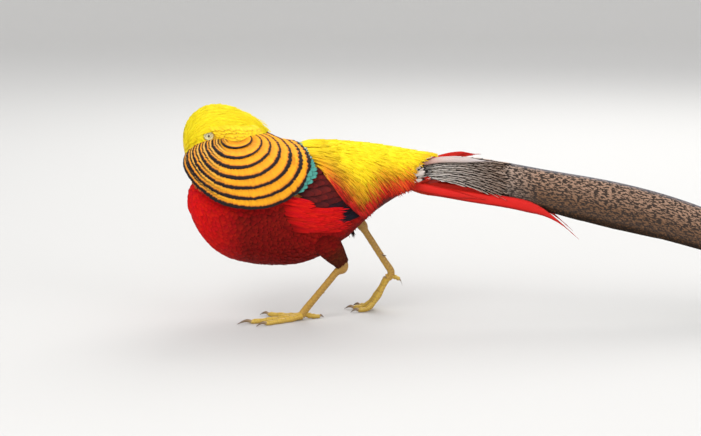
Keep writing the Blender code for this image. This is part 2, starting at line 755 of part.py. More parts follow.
def cape_feather(share, around, side, name, draw):
    """One square-tipped feather whose tip lies on its tier."""
    tip = cape_edge(around) * share
    length = CAPE_FEATHER_LENGTH + CAPE_BACK_LENGTH * max(0, -math.sin(math.radians(around)))
    length = length * (0.70 + 0.30 * share) + draw.uniform(-0.001, 0.001)
    run = math.degrees(length / CAPE_MEAN_RADIUS)
    tip -= draw.uniform(0.0, 1.0)
    spine, outs, widths = [], [], []
    half = CAPE_FEATHER_SPACING[name] * 0.53
    for part, width in CAPE_VANE:
        direction = cape_direction(tip - run * (1 - part), around, side)
        radius = cape_radius(direction, part)
        spine.append(CAPE_MIDDLE + direction * math.sqrt(radius**2 - (half * width) ** 2))
        outs.append(direction)
        widths.append(half * width)
    return vane(spine, outs, widths, CAPE_FEATHER_SKIN, FEATHER_ROLL)


def make_neck():
    """The neck with its cape: barred feathers in tiers that spread over the near cheek."""
    neck = add_node("neck", dome_shape(CAPE_MIDDLE, CAPE_CORE, CAPE_ROUNDNESS, 10, 20), "cape")
    draw = random.Random(7)
    pieces = []
    for side, name in ((-1, "left"), (1, "right")):
        for share in CAPE_TIERS[name]:
            ends = [a + (b - a) * share for a, b in zip(CAPE_SPREAD[name], CAPE_LOW_SPREAD[name])]
            turned = math.radians(ends[1] - ends[0])
            arc = CAPE_EDGE_RADIUS * math.sin(math.radians(CAPE_EDGE * share)) * turned
            count = max(3, round(arc / CAPE_FEATHER_SPACING[name]) + 1)
            for k in range(count):
                around = ends[0] + (ends[1] - ends[0]) * k / (count - 1) + draw.uniform(-1, 1)
                pieces.append(cape_feather(share, around, side, name, draw))
    join_pieces(neck, pieces)
    cut_away(neck, trunk_shape(TRUNK_STATIONS[0][0], TAIL_CUT_X, GAP))
    cut_away(neck, trunk_shape(MANTLE_TIERS[0][0] - GAP, TAIL_CUT_X, MANTLE_CLEARANCE))
    cut_away(neck, head_shape(GAP))
    for side in (-1, 1):
        cut_away(neck, ball(head_point(0, side * EYE_OUT, 0), LID_RING + LID_RADIUS + 4 * GAP))
    cut_away(neck, bill_shape(False, 4 * GAP))
    cut_away(neck, bill_shape(True, 4 * GAP))


def drape_point(x, angle, lift, side):
    """A point over the back and down the side: past 90 degrees it hangs straight."""
    top, foot, half_width = smooth_row(TRUNK_STATIONS, x)
    middle = (top + foot) / 2
    half_height = (top - foot) / 2 + lift
    turn = math.radians(max(min(angle, 90), -90))
    power = 2 / TRUNK_ROUNDNESS
    across = side * (half_width + lift) * rounded(math.sin(turn), power)
    hang = max(abs(angle) - 90, 0) * HANG_PER_DEGREE
    return Vector((x, across, middle + half_height * rounded(math.cos(turn), power) - hang))


def drape_out(x, angle, side):
    """The way out of the trunk at a place of the drape."""
    low = drape_point(x, angle, 0.0, side)
    high = drape_point(x, angle, 0.010, side)
    return (high - low).normalized()


def drape_feather(start, end, lifts, half_width, shape, side):
    """A feather over the trunk from (x, angle) to (x, angle), raised by the given lifts."""
    spine, outs, widths = [], [], []
    for (share, width), lift in zip(shape, lifts):
        x = start[0] + (end[0] - start[0]) * share
        angle = start[1] + (end[1] - start[1]) * share
        spine.append(drape_point(x, angle, lift, side))
        outs.append(drape_out(x, angle, side))
        widths.append(half_width * width)
    return vane(spine, outs, widths, BODY_FEATHER_SKIN, FEATHER_ROLL)


SQUARE_TIP = ((0.0, 0.60), (0.60, 1.0), (1.0, 0.70))
PLUME_TIP = ((0.0, 0.70), (0.50, 1.0), (1.0, 0.10))


def mantle_pieces():
    """Green feathers over the shoulders, rooted in front of the wings."""
    pieces = []
    for root, tip, count in MANTLE_TIERS:
        for k in range(count):
            angle = MANTLE_REACH * (2 * k / (count - 1) - 1)
            feather = drape_feather(
                (root, angle), (tip, angle), MANTLE_LIFTS, MANTLE_HALF_WIDTH, SQUARE_TIP, -1
            )
            pieces.append(feather)
    return pieces


def rump_pieces():
    """Hair-like golden plumes over the back, whose tips hang over the wings and tail."""
    draw = random.Random(5)
    pieces = []
    for root_angle, tip_angle, first, last, count, lift in RUMP_TIERS:
        for side in (-1, 1):
            for k in range(count):
                x = first + (last - first) * k / (count - 1)
                run = RUMP_FEATHER_RUN + draw.uniform(-0.003, 0.003)
                start = (x, root_angle)
                end = (x + run, tip_angle + draw.uniform(-4, 4))
                lifts = (-RUMP_ROOT_DEPTH, lift * 0.74, lift)
                pieces.append(drape_feather(start, end, lifts, RUMP_FEATHER_WIDTH / 2, PLUME_TIP, side))
    return pieces


def make_trunk():
    """Torso and rump, one form parted by a slanted cut, each with the feathers it carries."""
    normal = cut_normal()
    torso = trunk_shape(TRUNK_STATIONS[0][0], TAIL_CUT_X)
    slice_off(torso, RUMP_CUT_TOP, normal)
    torso = add_node("torso", torso, "breast")
    join_pieces(torso, mantle_pieces())
    rump = trunk_shape(TRUNK_STATIONS[0][0], TAIL_CUT_X)
    slice_off(rump, RUMP_CUT_TOP + normal * GAP, -normal)
    rump = add_node("rump", rump, "rump")
    join_pieces(rump, rump_pieces())


def sheet_shape(rows_low, rows_high):
    """A closed plate between two grids of points."""
    shape = bmesh.new()
    low = [[shape.verts.new(p) for p in row] for row in rows_low]
    high = [[shape.verts.new(p) for p in row] for row in rows_high]
    rows, columns = len(low), len(low[0])
    for i in range(rows - 1):
        for j in range(columns - 1):
            for grid in (low, high):
                a, b, c, d = grid[i][j], grid[i + 1][j], grid[i + 1][j + 1], grid[i][j + 1]
                shape.faces.new((a, b, c))
                shape.faces.new((a, c, d))
    edge = [(i, 0) for i in range(rows)] + [(rows - 1, j) for j in range(1, columns)]
    edge += [(i, columns - 1) for i in range(rows - 2, -1, -1)]
    edge += [(0, j) for j in range(columns - 2, 0, -1)]
    for (i, j), (m, n) in zip(edge, edge[1:] + edge[:1]):
        shape.faces.new((low[i][j], low[m][n], high[m][n], high[i][j]))
    bmesh.ops.recalc_face_normals(shape, faces=shape.faces)
    return shape


def make_wing(side, name):
    """A folded wing: a thin arm along the flank with its feathers in tiers."""
    low, high = [], []
    edge = (0.45, 1.0, 1.0, 0.5)
    for x, upper, thick in WING_ARM:
        angles = [upper + (WING_ARM_FOOT - upper) * j / (len(edge) - 1) for j in range(len(edge))]
        low.append([drape_point(x, angle, WING_CLEARANCE, side) for angle in angles])
        skins = [max(2 * WING_CLEARANCE, thick * share) for share in edge]
        high.append([drape_point(x, angle, skin, side) for angle, skin in zip(angles, skins)])
    wing = add_node("wing_" + name, sheet_shape(low, high), "wing")
    pieces = []
    for root, tip, first, last, count, lifts, width in WING_TIERS:
        for k in range(count):
            angle = first + (last - first) * k / (count - 1)
            shift = WING_TIP_SHIFT * k / (count - 1)
            rise = lifts[1] - lifts[0]
            heights = [lifts[0] + rise * share for share in (0.0, 0.7, 1.0)]
            feather = drape_feather(
                (root, angle), (tip + shift, angle + 3), heights, width / 2, SQUARE_TIP, side
            )
            pieces.append(feather)
    join_pieces(wing, pieces)


def tail_point(x, across, sink=0.0):
    """A point on the tail's roof: across runs from -1 at the left edge to 1."""
    ridge, half_width, drop = smooth_row(TAIL_STATIONS, x)
    return Vector((x, half_width * across, ridge - drop * abs(across) - sink))


def tail_sink(x, layer):
    """How far below the roof a layer lies; the layers come together at the root."""
    first_x, second_x = TAIL_ROWS[:2]
    spread = min(1.0, 0.4 + 0.6 * (x - first_x) / (second_x - first_x))
    return layer * TAIL_LAYER * spread


def tail_feather(tip_x, layer, taper, edges):
    """A tail feather as a closed sheet; edges gives its width's shares at x."""
    low, high = [], []
    for x in [row for row in TAIL_ROWS if row < tip_x - 0.012] + [tip_x]:
        narrow = max(min(1.0, (tip_x - x) / taper) ** 0.5, 0.08)
        sink = tail_sink(x, layer)
        shares = edges(x, narrow, sink)
        high.append([tail_point(x, share, sink) for share in shares])
        low.append([tail_point(x, share, sink + TAIL_SKIN) for share in shares])
    return sheet_shape(low, high)


def roof_feather(tip_x, reach, layer):
    """One of the two middle tail feathers, bent like a roof over those below it."""
    return tail_feather(tip_x, layer, 0.16, lambda x, narrow, sink: (-reach * narrow, 0.0, reach * narrow))


def side_feather(tip_x, order, side):
    """A side tail feather, under the longer ones, whose lower edge shows below them."""

    def edges(x, narrow, sink):
        outer = 1.0 - sink / smooth_row(TAIL_STATIONS, x)[2] + 0.012 * order
        outer = max(outer, 0.4)
        inner = max(outer - 0.75, 0.1)
        middle, half = (outer + inner) / 2, (outer - inner) / 2 * narrow
        return (side * (middle - half), side * (middle + half))

    return tail_feather(tip_x, order + 1, 0.10, edges)


def plume(places, side):
    """A scarlet plume beside the tail."""
    spine = [Vector((place[0], side * place[1], place[2])) for place in places]
    outs = [Vector((0, side, 0.25)) for _ in places]
    return vane(spine, outs, [place[3] for place in places], PLUME_SKIN)


def covert(root, tip, across):
    """A spotted feather over the root of the tail."""
    spine, outs, widths = [], [], []
    for (share, width), rise in zip(SQUARE_TIP, COVERT_LIFTS):
        x = root + (tip - root) * share
        spine.append(tail_point(x, across, -rise))
        outs.append(Vector((0, math.copysign(0.8, across), 0.6)))
        widths.append(COVERT_WIDTH / 2 * width)
    return vane(spine, outs, widths, COVERT_SKIN)


def make_tail():
    """The tail, feather by feather, on its fleshy root."""
    root = [trunk_ring(x) for x in (TAIL_CUT_X + GAP, *TAIL_ROOT_ROWS)]
    tail = add_node("tail", loft(root), "tail")
    pieces = [roof_feather(TAIL_TIP_X, 1.0, 0), roof_feather(TAIL_SECOND_TIP_X, 0.93, 1)]
    for side in (-1, 1):
        for order, tip_x in enumerate(TAIL_SIDE_TIPS):
            pieces.append(side_feather(tip_x, order + 1, side))
        pieces += [plume(PLUME_LONG, side), plume(PLUME_SHORT, side), plume(PLUME_HIGH, side)]
        for first, last, shares in COVERT_TIERS:
            for across in shares:
                pieces.append(covert(first, last, side * across))
    join_pieces(tail, pieces)


def tube(points, radii, sides=10, first_face=None, side_line=Vector((0, 1, 0))):
    """A closed tube of changing radius; its first face may point along a given line."""
    rings = []
    count = len(points)
    for k, point in enumerate(points):
        ahead = points[min(k + 1, count - 1)]
        behind = points[max(k - 1, 0)]
        along = (ahead - behind).normalized()
        if k == 0 and first_face is not None:
            along = first_face.normalized()
        across = along.cross(side_line).normalized()
        other = along.cross(across)
        ring = []
        for j in range(sides):
            turn = 2 * math.pi * j / sides
            ring.append(point + (across * math.cos(turn) + other * math.sin(turn)) * radii[k])
        rings.append(ring)
    return loft(rings)


def shank_rows(start, hock, line, shin):
    """The shank's line and radii, with a raised row where each scute begins."""
    bend = hock + line.normalized() * HOCK_RADIUS * 0.4 + shin.normalized() * HOCK_RADIUS * 0.7
    points, radii = [start, bend], [HOCK_RADIUS, HOCK_RADIUS * 1.02]
    first, last = 0.17, 0.93
    for k in range(SCUTES):
        share = first + (last - first) * k / SCUTES
        after = first + (last - first) * (k + 0.93) / SCUTES
        points += [hock + shin * share, hock + shin * after]
        radii += [SHANK_RADIUS + SCUTE_HEIGHT, SHANK_RADIUS + 0.2 * SCUTE_HEIGHT]
    return points, radii


def make_leg(side, name):
    """Thigh, shank with its scutes and spur, and foot of one leg."""
    root, hock, joint = THIGH_ROOT[name], HOCK[name], FOOT_JOINT[name]
    line = hock - root
    places = [root + line * share for share, _ in THIGH_ROWS]
    radii = [radius for _, radius in THIGH_ROWS]
    thigh = add_node("thigh_" + name, tube(places, radii, THIGH_SIDES), "thigh")
    cut_away(thigh, trunk_shape(TRUNK_STATIONS[0][0], TAIL_CUT_X, GAP))
    end_of_thigh = places[-1]
    shin = joint - hock
    points, radii = shank_rows(end_of_thigh + line.normalized() * GAP, hock, line, shin)
    shank = add_node("shank_" + name, tube(points, radii, 8, first_face=line), "leg")
    spur_root = hock + shin * SPUR_SHARE
    spur_out = Vector((0.75, -side * 0.66, -0.10))
    spur = [spur_root + spur_out * reach for reach, _ in SPUR_ROWS]
    join_pieces(shank, [tube(spur, [radius for _, radius in SPUR_ROWS], 6)])
    make_foot(name, points[-1] + shin.normalized() * GAP, shin)


def toe_shape(start, end, kind, thickness):
    """One toe with its claw, from the ball of the foot to the claw's tip."""
    places = []
    for share, height in zip(TOE_SHARES, TOE_HEIGHTS[kind]):
        places.append(Vector((*(Vector(start).lerp(Vector(end), share)), height)))
    return tube(places, [radius * thickness for radius in TOE_RADII], TOE_SIDES)


def make_foot(name, ankle, shin):
    """A foot with its four toes and their claws, standing on the floor."""
    first = TOES[name][0]
    ball_place = Vector((*first[0], TOE_HEIGHTS[first[2]][0]))
    middle = (ankle + ball_place) / 2
    sole = tube([ankle, middle, ball_place], (SHANK_RADIUS, FOOT_RADIUS, BALL_RADIUS), 8, first_face=shin)
    foot = add_node("foot_" + name, sole, "leg")
    join_pieces(foot, [toe_shape(*toe) for toe in TOES[name]])
    cut_away(foot, box_shape(Vector((-0.2, -0.2, -0.05)), Vector((0.2, 0.2, 0.0))))


def centre_on_floor():
    """Moves every node so that the model's box stands centred on the origin."""
    nodes = list(bpy.data.collections[COLLECTION_NAME].objects)
    places = [vert.co for node in nodes for vert in node.data.vertices]
    low = Vector([min(place[k] for place in places) for k in range(3)])
    high = Vector([max(place[k] for place in places) for k in range(3)])
    shift = Vector((-(low.x + high.x) / 2, -(low.y + high.y) / 2, -low.z))
    for node in nodes:
        node.data.transform(Matrix.Translation(shift))


def main():
    clear_scene()
    make_collection(COLLECTION_NAME)
    make_trunk()
    make_head()
    make_bill()
    make_neck()
    make_crest()
    for side, name in ((-1, "left"), (1, "right")):
        make_wing(side, name)
        make_leg(side, name)
    make_tail()
    centre_on_floor()


main()
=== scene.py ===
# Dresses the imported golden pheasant: one skin, feathers laid by tiers, eyes, bill, scaled legs.
import itertools
import math
import random
import time

import bmesh
import bpy
import numpy as np
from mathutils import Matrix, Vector
from mathutils.bvhtree import BVHTree


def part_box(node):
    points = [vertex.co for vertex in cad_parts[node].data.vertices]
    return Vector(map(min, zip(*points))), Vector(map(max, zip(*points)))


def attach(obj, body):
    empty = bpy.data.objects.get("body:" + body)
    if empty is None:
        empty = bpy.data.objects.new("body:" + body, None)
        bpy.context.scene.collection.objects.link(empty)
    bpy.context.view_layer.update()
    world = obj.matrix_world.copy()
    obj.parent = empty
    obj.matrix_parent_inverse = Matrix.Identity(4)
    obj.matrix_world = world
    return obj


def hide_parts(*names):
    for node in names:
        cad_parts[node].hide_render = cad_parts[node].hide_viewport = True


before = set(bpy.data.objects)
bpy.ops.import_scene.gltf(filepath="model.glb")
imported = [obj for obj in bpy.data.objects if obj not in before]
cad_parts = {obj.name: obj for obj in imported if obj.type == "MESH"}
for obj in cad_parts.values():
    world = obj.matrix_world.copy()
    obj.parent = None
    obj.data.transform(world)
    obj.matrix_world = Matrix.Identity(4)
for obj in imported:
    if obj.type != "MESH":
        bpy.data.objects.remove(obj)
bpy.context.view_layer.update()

started = time.time()
bothSides = ((-1, "left"), (1, "right"))
eyeInBird = Vector((-0.15, -0.0118, 0.199))  # the left eye's middle in the bird's own frame
eyeLow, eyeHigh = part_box("eye_left")
shift = (Vector(eyeLow) + Vector(eyeHigh)) / 2 - eyeInBird
tiltCos, tiltSin = 0.985, 0.171  # of the camera's downward tilt, for heights in its picture


def report(stage):
    print(f"{stage}: {time.time() - started:.1f} s")


def clamp(value):
    return min(max(value, 0.0), 1.0)


def between(first, last, share):
    return first + (last - first) * share


def spaced(count):  # each step and its share of the way, from 0 to 1
    return [(i, i / (count - 1)) for i in range(count)]


def stepped(first, last, step):
    while first <= last:
        yield first
        first += step


def turns(count):
    return [2 * math.pi * k / count for k in range(count)]


# Shapes that the coat lies on, in the bird's own frame, metres
trunkSizes = {
    "rows": [  # x, top, underside, half width
        (-0.1733, 0.132, 0.13, 0.001), (-0.1724, 0.14, 0.122, 0.008), (-0.1705, 0.147, 0.1145, 0.014),
        (-0.166, 0.153, 0.102, 0.026), (-0.155, 0.158, 0.085, 0.037), (-0.138, 0.163, 0.0705, 0.045),
        (-0.115, 0.171, 0.063, 0.0495), (-0.088, 0.179, 0.06, 0.051), (-0.06, 0.183, 0.061, 0.05),
        (-0.035, 0.184, 0.069, 0.048), (-0.01, 0.1835, 0.086, 0.0445), (0.008, 0.182, 0.102, 0.041),
        (0.025, 0.18, 0.118, 0.036), (0.042, 0.1775, 0.13, 0.031), (0.062, 0.174, 0.141, 0.025),
        (0.08, 0.171, 0.147, 0.019), (0.104, 0.168, 0.153, 0.012),
    ],
    "roundness": 2.15,
}
headSizes = {
    "pitch": math.radians(30),
    "eyeX": -0.15,
    "eyeHeight": 0.199,
    "eyeOut": 0.0118,
    "rows": [  # place along the head, half width, half height, rise
        (-0.027, 0.001, 0.001, -0.001), (-0.025, 0.008, 0.008, -0.001), (-0.019, 0.0125, 0.0125, 0.001),
        (-0.009, 0.015, 0.015, 0.002), (0.002, 0.0142, 0.0145, 0.001), (0.01, 0.0108, 0.0115, -0.0015),
        (0.015, 0.0074, 0.0092, -0.0032),
    ],
}
capeSizes = {
    "middle": Vector((-0.112, 0.0, 0.16)),
    "reaches": (0.068, 0.088, 0.066, 0.041, 0.072),  # front, back, side, up, down
    "core": (0.058, 0.048, 0.057, 0.036, 0.045),
    "roundness": 2.3,
    "pole": Vector((-0.01, -0.03, 0.043)).normalized(),
    "overTrunk": 0.0068,
    "edges": [  # degrees around, degrees from the pole to the last tier
        (-140.0, 64.0), (-120.0, 59.0), (-100.0, 67.0), (-80.0, 77.7), (-60.0, 85.0), (-40.0, 85.7), (-20.0, 82.0),
        (0.0, 75.3), (20.0, 66.2), (40.0, 60.0), (60.0, 59.0), (80.0, 62.0), (100.0, 72.0),
    ],
    # x and the most picture height there
    "roof": [(-0.1, 0.23), (-0.09, 0.199), (-0.084, 0.1945), (-0.0725, 0.188), (-0.05, 0.1845), (-0.03, 0.1835)],
}
crestSizes = {
    "middle": Vector((-0.143, 0.0, 0.19)),
    "reaches": (0.0375, 0.061, 0.036, 0.041, 0.041),
    "roundness": 2.1,
    "pole": Vector((-0.97, 0.0, -0.243)).normalized(),
    "fall": 0.0048,  # how much lower its back lies
    "slim": (-0.162, -0.108, 0.5),  # over the face it has this share of its width, and all of it at the nape
    "rim": [(-0.185, 0.17), (-0.16, 0.174), (-0.153, 0.186), (-0.145, 0.1985), (-0.112, 0.2), (-0.095, 0.194),
            (-0.085, 0.196), (-0.05, 0.19)],  # x and the least picture height of its strands
}
tailSizes = {
    "rows": [  # x, ridge, half width, drop of the edge
        (0.08, 0.1665, 0.014, 0.013), (0.1, 0.1722, 0.0185, 0.021), (0.13, 0.1732, 0.021, 0.0285),
        (0.207, 0.1604, 0.0235, 0.04), (0.278, 0.1485, 0.0245, 0.046), (0.347, 0.13, 0.024, 0.0445),
        (0.43, 0.101, 0.0225, 0.04), (0.52, 0.069, 0.019, 0.033), (0.6, 0.0425, 0.014, 0.023),
        (0.655, 0.026, 0.006, 0.01),
    ],
    "tip": 0.671, "first": 0.0801,
}
legSizes = {
    "hock": {"left": Vector((-0.008, -0.024, 0.062)), "right": Vector((0.01, 0.026, 0.099))},
    "joint": {"left": Vector((-0.05, -0.016, 0.009)), "right": Vector((0.047, 0.03, 0.04))},
    "thighRoot": {"left": Vector((-0.036, -0.026, 0.1)), "right": Vector((-0.02, 0.027, 0.128))},
    "thighSkin": ((-0.25, 0.014), (0.0, 0.0155), (0.3, 0.0145), (0.6, 0.0115), (0.85, 0.0082), (0.93, 0.0064)),
}


def smoothRow(rows, x):
    last = len(rows) - 1
    if x <= rows[0][0]:
        return rows[0][1:]
    if x >= rows[last][0]:
        return rows[last][1:]
    i = 0
    while rows[i + 1][0] <= x:
        i += 1
    low, high = rows[i], rows[i + 1]
    before, after = rows[max(i - 1, 0)], rows[min(i + 2, last)]
    span = high[0] - low[0]
    t = (x - low[0]) / span
    a, b, c, d = 2 * t**3 - 3 * t**2 + 1, t**3 - 2 * t**2 + t, 3 * t**2 - 2 * t**3, t**3 - t**2
    lowRun, highRun = span / (high[0] - before[0]), span / (after[0] - low[0])
    return tuple(
        a * low[k] + b * (high[k] - before[k]) * lowRun + c * high[k] + d * (after[k] - low[k]) * highRun
        for k in range(1, len(low))
    )


def signedPower(value, power):
    return math.copysign(abs(value) ** power, value)


def trunkPoint(x, angle, lift=0.0):  # angle 0 is the top, 180 the belly, positive on the left
    top, foot, halfWidth = smoothRow(trunkSizes["rows"], x)
    middle, halfHeight = (top + foot) / 2, (top - foot) / 2 + lift
    turn = math.radians(angle)
    power = 2 / trunkSizes["roundness"]
    across = -(halfWidth + lift) * signedPower(math.sin(turn), power)
    nose = -lift * max(0.0, 1 - (x - trunkSizes["rows"][0][0]) / 0.02)  # the breast's front grows forward too
    return Vector((x + nose, across, middle + halfHeight * signedPower(math.cos(turn), power)))


def drapePoint(x, angle, lift=0.0):  # over the back, and straight down past 90 degrees
    hang = max(abs(angle) - 90, 0) * 0.001
    point = trunkPoint(x, max(min(angle, 90), -90), lift)
    point.z -= hang
    return point


def drapeOn(side):  # the draped surface on one side of the bird
    def surface(x, angle, lift):
        point = drapePoint(x, angle, lift)
        return point if side < 0 else Vector((point.x, -point.y, point.z))
    return surface


def trunkRadius(x):
    top, foot, halfWidth = smoothRow(trunkSizes["rows"], x)
    return max(0.004, ((top - foot) / 2 + halfWidth) / 2)


def headPoint(along, across, up):
    turn = headSizes["pitch"]
    return Vector((
        headSizes["eyeX"] - math.cos(turn) * along - math.sin(turn) * up,
        across,
        headSizes["eyeHeight"] - math.sin(turn) * along + math.cos(turn) * up,
    ))


eyePlaces = [headPoint(0.0, side * headSizes["eyeOut"], 0.0) for side in (-1, 1)]


def headSkin(along, angle, lift=0.0):  # angle 0 is the crown
    halfWidth, halfHeight, rise = smoothRow(headSizes["rows"], along)
    turn = math.radians(angle)
    return headPoint(along, -(halfWidth + lift) * math.sin(turn), rise + (halfHeight + lift) * math.cos(turn))


def domeRadius(direction, reaches, roundness):
    front, back, side, up, down = reaches
    total = (abs(direction.x) / (front if direction.x < 0 else back)) ** roundness
    total += (abs(direction.y) / side) ** roundness
    total += (abs(direction.z) / (up if direction.z > 0 else down)) ** roundness
    return total ** (-1 / roundness)


def polarDirection(pole, first, fromPole, around, side):
    second = first.cross(pole)
    tilt, turn = math.radians(fromPole), math.radians(around)
    flat = first * math.cos(turn) + second * math.sin(turn)
    direction = pole * math.cos(tilt) + flat * math.sin(tilt)
    return Vector((direction.x, -side * direction.y, direction.z))


capeFirst = (Vector((0, 0, -1)) + capeSizes["pole"] * capeSizes["pole"].z).normalized()
crestFirst = (Vector((0, 0, 1)) - crestSizes["pole"] * crestSizes["pole"].z).normalized()


def insideTrunk(place, grow):
    top, foot, halfWidth = smoothRow(trunkSizes["rows"], place.x)
    rise = abs(place.z - (top + foot) / 2) / ((top - foot) / 2 + grow)
    across = abs(place.y) / (halfWidth + grow)
    return rise ** trunkSizes["roundness"] + across ** trunkSizes["roundness"] < 1


def capePoint(polar, around, lift, side):  # around is 0 down, 90 forward and -90 back
    direction = polarDirection(capeSizes["pole"], capeFirst, polar, around, side)
    radius = domeRadius(direction, capeSizes["reaches"], capeSizes["roundness"])
    place = capeSizes["middle"] + direction * radius
    while insideTrunk(place, capeSizes["overTrunk"]):
        radius += 0.0004
        place = capeSizes["middle"] + direction * radius
    if place.x > capeSizes["roof"][0][0]:
        most = smoothRow(capeSizes["roof"], place.x)[0]
        place.z = min(place.z, (most - tiltSin * place.y) / tiltCos)
    return place + direction * lift


def slimFace(point):
    first, last, share = crestSizes["slim"]
    t = clamp((point.x - first) / (last - first))
    fall = crestSizes["fall"] * clamp((point.x + 0.14) / 0.045)
    return Vector((point.x, point.y * (share + (1 - share) * t * t * (3 - 2 * t)), point.z - fall))


def crestPoint(along, around, lift):
    direction = polarDirection(crestSizes["pole"], crestFirst, along, around, 1)
    radius = domeRadius(direction, crestSizes["reaches"], crestSizes["roundness"])
    return slimFace(crestSizes["middle"] + direction * (radius + lift))


def pictureHeight(point):  # how high a place lies in the camera's picture, the far side mirrored
    return tiltCos * point.z - tiltSin * abs(point.y)


def tailPoint(x, across, sink=0.0):
    ridge, halfWidth, drop = smoothRow(tailSizes["rows"], x)
    return Vector((x, halfWidth * across, ridge - drop * abs(across) ** 1.12 - sink))


def thighPoint(name, t, angle, lift):
    root, hock = legSizes["thighRoot"][name], legSizes["hock"][name]
    line = hock - root
    radius = smoothRow(legSizes["thighSkin"], t)[0]
    side = line.normalized().cross(Vector((0, 1, 0))).normalized()
    other = line.normalized().cross(side)
    turn = math.radians(angle)
    return root + line * t + (side * math.cos(turn) + other * math.sin(turn)) * (radius + lift)


def clearOfEyes(place, reach):
    return all(math.hypot(place.x - eye.x, place.z - eye.z) > reach or place.y * eye.y < 0 for eye in eyePlaces)


# Making meshes
def toWorld(points):
    return [tuple(point + shift) for point in points]


def newObject(name, mesh, material=None):
    thing = bpy.data.objects.new(name, mesh)
    bpy.context.scene.collection.objects.link(thing)
    if material:
        mesh.materials.clear()
        mesh.materials.append(material)
    return thing


def meshFrom(name, verts, faces):
    mesh = bpy.data.meshes.new(name)
    mesh.from_pydata(verts, [], faces)
    mesh.update()
    return mesh


def smoothFaces(mesh):
    mesh.polygons.foreach_set("use_smooth", np.ones(len(mesh.polygons), dtype=bool))


def setValues(mesh, name, values):  # one number or one vector for each vertex
    values = np.asarray(values, dtype=np.float32)
    kind, key = ("FLOAT", "value") if values.ndim == 1 else ("FLOAT_VECTOR", "vector")
    mesh.attributes.new(name, kind, "POINT").data.foreach_set(key, values.ravel())


def getValues(mesh, name, width):
    values = np.zeros(len(mesh.vertices) * width, dtype=np.float32)
    mesh.attributes[name].data.foreach_get("value" if width == 1 else "vector", values)
    return values.reshape(-1, width)


def evaluated(thing):  # the object's mesh with its modifiers, and the object itself removed
    mesh = bpy.data.meshes.new_from_object(thing.evaluated_get(bpy.context.evaluated_depsgraph_get()))
    bpy.data.objects.remove(thing, do_unlink=True)
    return mesh


def keepPiece(name, mesh, material, slot, *nodes):  # nodes are the solids that it stands for
    thing = newObject(name, mesh, material)
    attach(thing, "root")
    if nodes:
        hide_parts(*nodes)
    return thing


def bakeMap(mesh, places):  # places: one (u, v) for each vertex
    layer = mesh.uv_layers.get("OFBake") or mesh.uv_layers.new(name="OFBake")
    corners = np.zeros(len(mesh.loops), dtype=np.int32)
    mesh.loops.foreach_get("vertex_index", corners)
    layer.data.foreach_set("uv", np.clip(places, 0.0, 1.0)[corners].astype(np.float32).ravel())


def sealedGrid(rows, thickness):  # a sheet and its lower twin share their rim: a closed thin vane
    count, columns = len(rows), len(rows[0])
    verts = [point for row in rows for point in row]
    twin = {}
    for i in range(1, count - 1):
        for j in range(1, columns - 1):
            along = rows[i + 1][j] - rows[i - 1][j]
            across = rows[i][j + 1] - rows[i][j - 1]
            out = across.cross(along)
            out = out.normalized() if out.length > 1e-12 else Vector((0, 0, 1))
            twin[i, j] = len(verts)
            verts.append(rows[i][j] + out * thickness)
    faces = []
    for i in range(count - 1):
        for j in range(columns - 1):
            quad = [(i, j), (i + 1, j), (i + 1, j + 1), (i, j + 1)]
            faces.append([a * columns + b for a, b in quad][::-1])
            faces.append([twin.get(corner, corner[0] * columns + corner[1]) for corner in quad])
    return verts, faces, twin


# A piece from rows of points, the same count in each
def gridPiece(name, rows, material, slot, *nodes, floats=None, capEnds=True):
    count, sides = len(rows), len(rows[0])
    faces = [(i * sides + k, i * sides + (k + 1) % sides, (i + 1) * sides + (k + 1) % sides, (i + 1) * sides + k)
             for i in range(count - 1) for k in range(sides)]
    if capEnds:
        faces += [tuple(range(sides))[::-1], tuple(range((count - 1) * sides, count * sides))]
    mesh = meshFrom(name, toWorld([point for row in rows for point in row]), faces)
    shape = bmesh.new()
    shape.from_mesh(mesh)
    bmesh.ops.recalc_face_normals(shape, faces=shape.faces)
    shape.to_mesh(mesh)
    shape.free()
    for label, values in (floats or {}).items():
        setValues(mesh, label, values)
    smoothFaces(mesh)
    keepPiece(name, mesh, material, slot, *nodes)


# Materials
def feed(tree, socket, value):  # an output is linked, and a number or colour is set
    if isinstance(value, bpy.types.NodeSocket):
        tree.links.new(value, socket)
    else:
        socket.default_value = (*value, 1.0) if socket.type == "RGBA" else value


def addNode(tree, kind, values=(), **settings):
    node = tree.nodes.new(kind)
    for label, setting in settings.items():
        setattr(node, label, setting)
    for key, value in dict(values).items():
        feed(tree, node.inputs[key], value)
    return node


def newGroup(name, inputs, outputs):
    group = bpy.data.node_groups.new(name, "ShaderNodeTree")
    for label, value in inputs.items():
        kind = "NodeSocketColor" if isinstance(value, tuple) else "NodeSocketFloat"
        group.interface.new_socket(name=label, in_out="INPUT", socket_type=kind).default_value = value
    for label, kind in outputs.items():
        group.interface.new_socket(name=label, in_out="OUTPUT", socket_type="NodeSocket" + kind)
    return group, group.nodes.new("NodeGroupInput").outputs, group.nodes.new("NodeGroupOutput").inputs


def maths(tree, operation, *values, clamped=False):
    return addNode(tree, "ShaderNodeMath", enumerate(values), operation=operation, use_clamp=clamped).outputs[0]


def climb(tree, value, start, width):  # 0 up to the start, and 1 from a width further on
    return maths(tree, "DIVIDE", maths(tree, "SUBTRACT", value, start), width, clamped=True)


def read(tree, name):  # a number that the mesh carries
    return addNode(tree, "ShaderNodeAttribute", attribute_name=name).outputs["Fac"]


def objectPlace(tree):
    return tree.nodes.new("ShaderNodeTexCoord").outputs["Object"]


def mixColours(tree, share, first, second, kind="MIX"):
    values = {0: share, 6: first, 7: second}
    return addNode(tree, "ShaderNodeMix", values, data_type="RGBA", blend_type=kind).outputs[2]


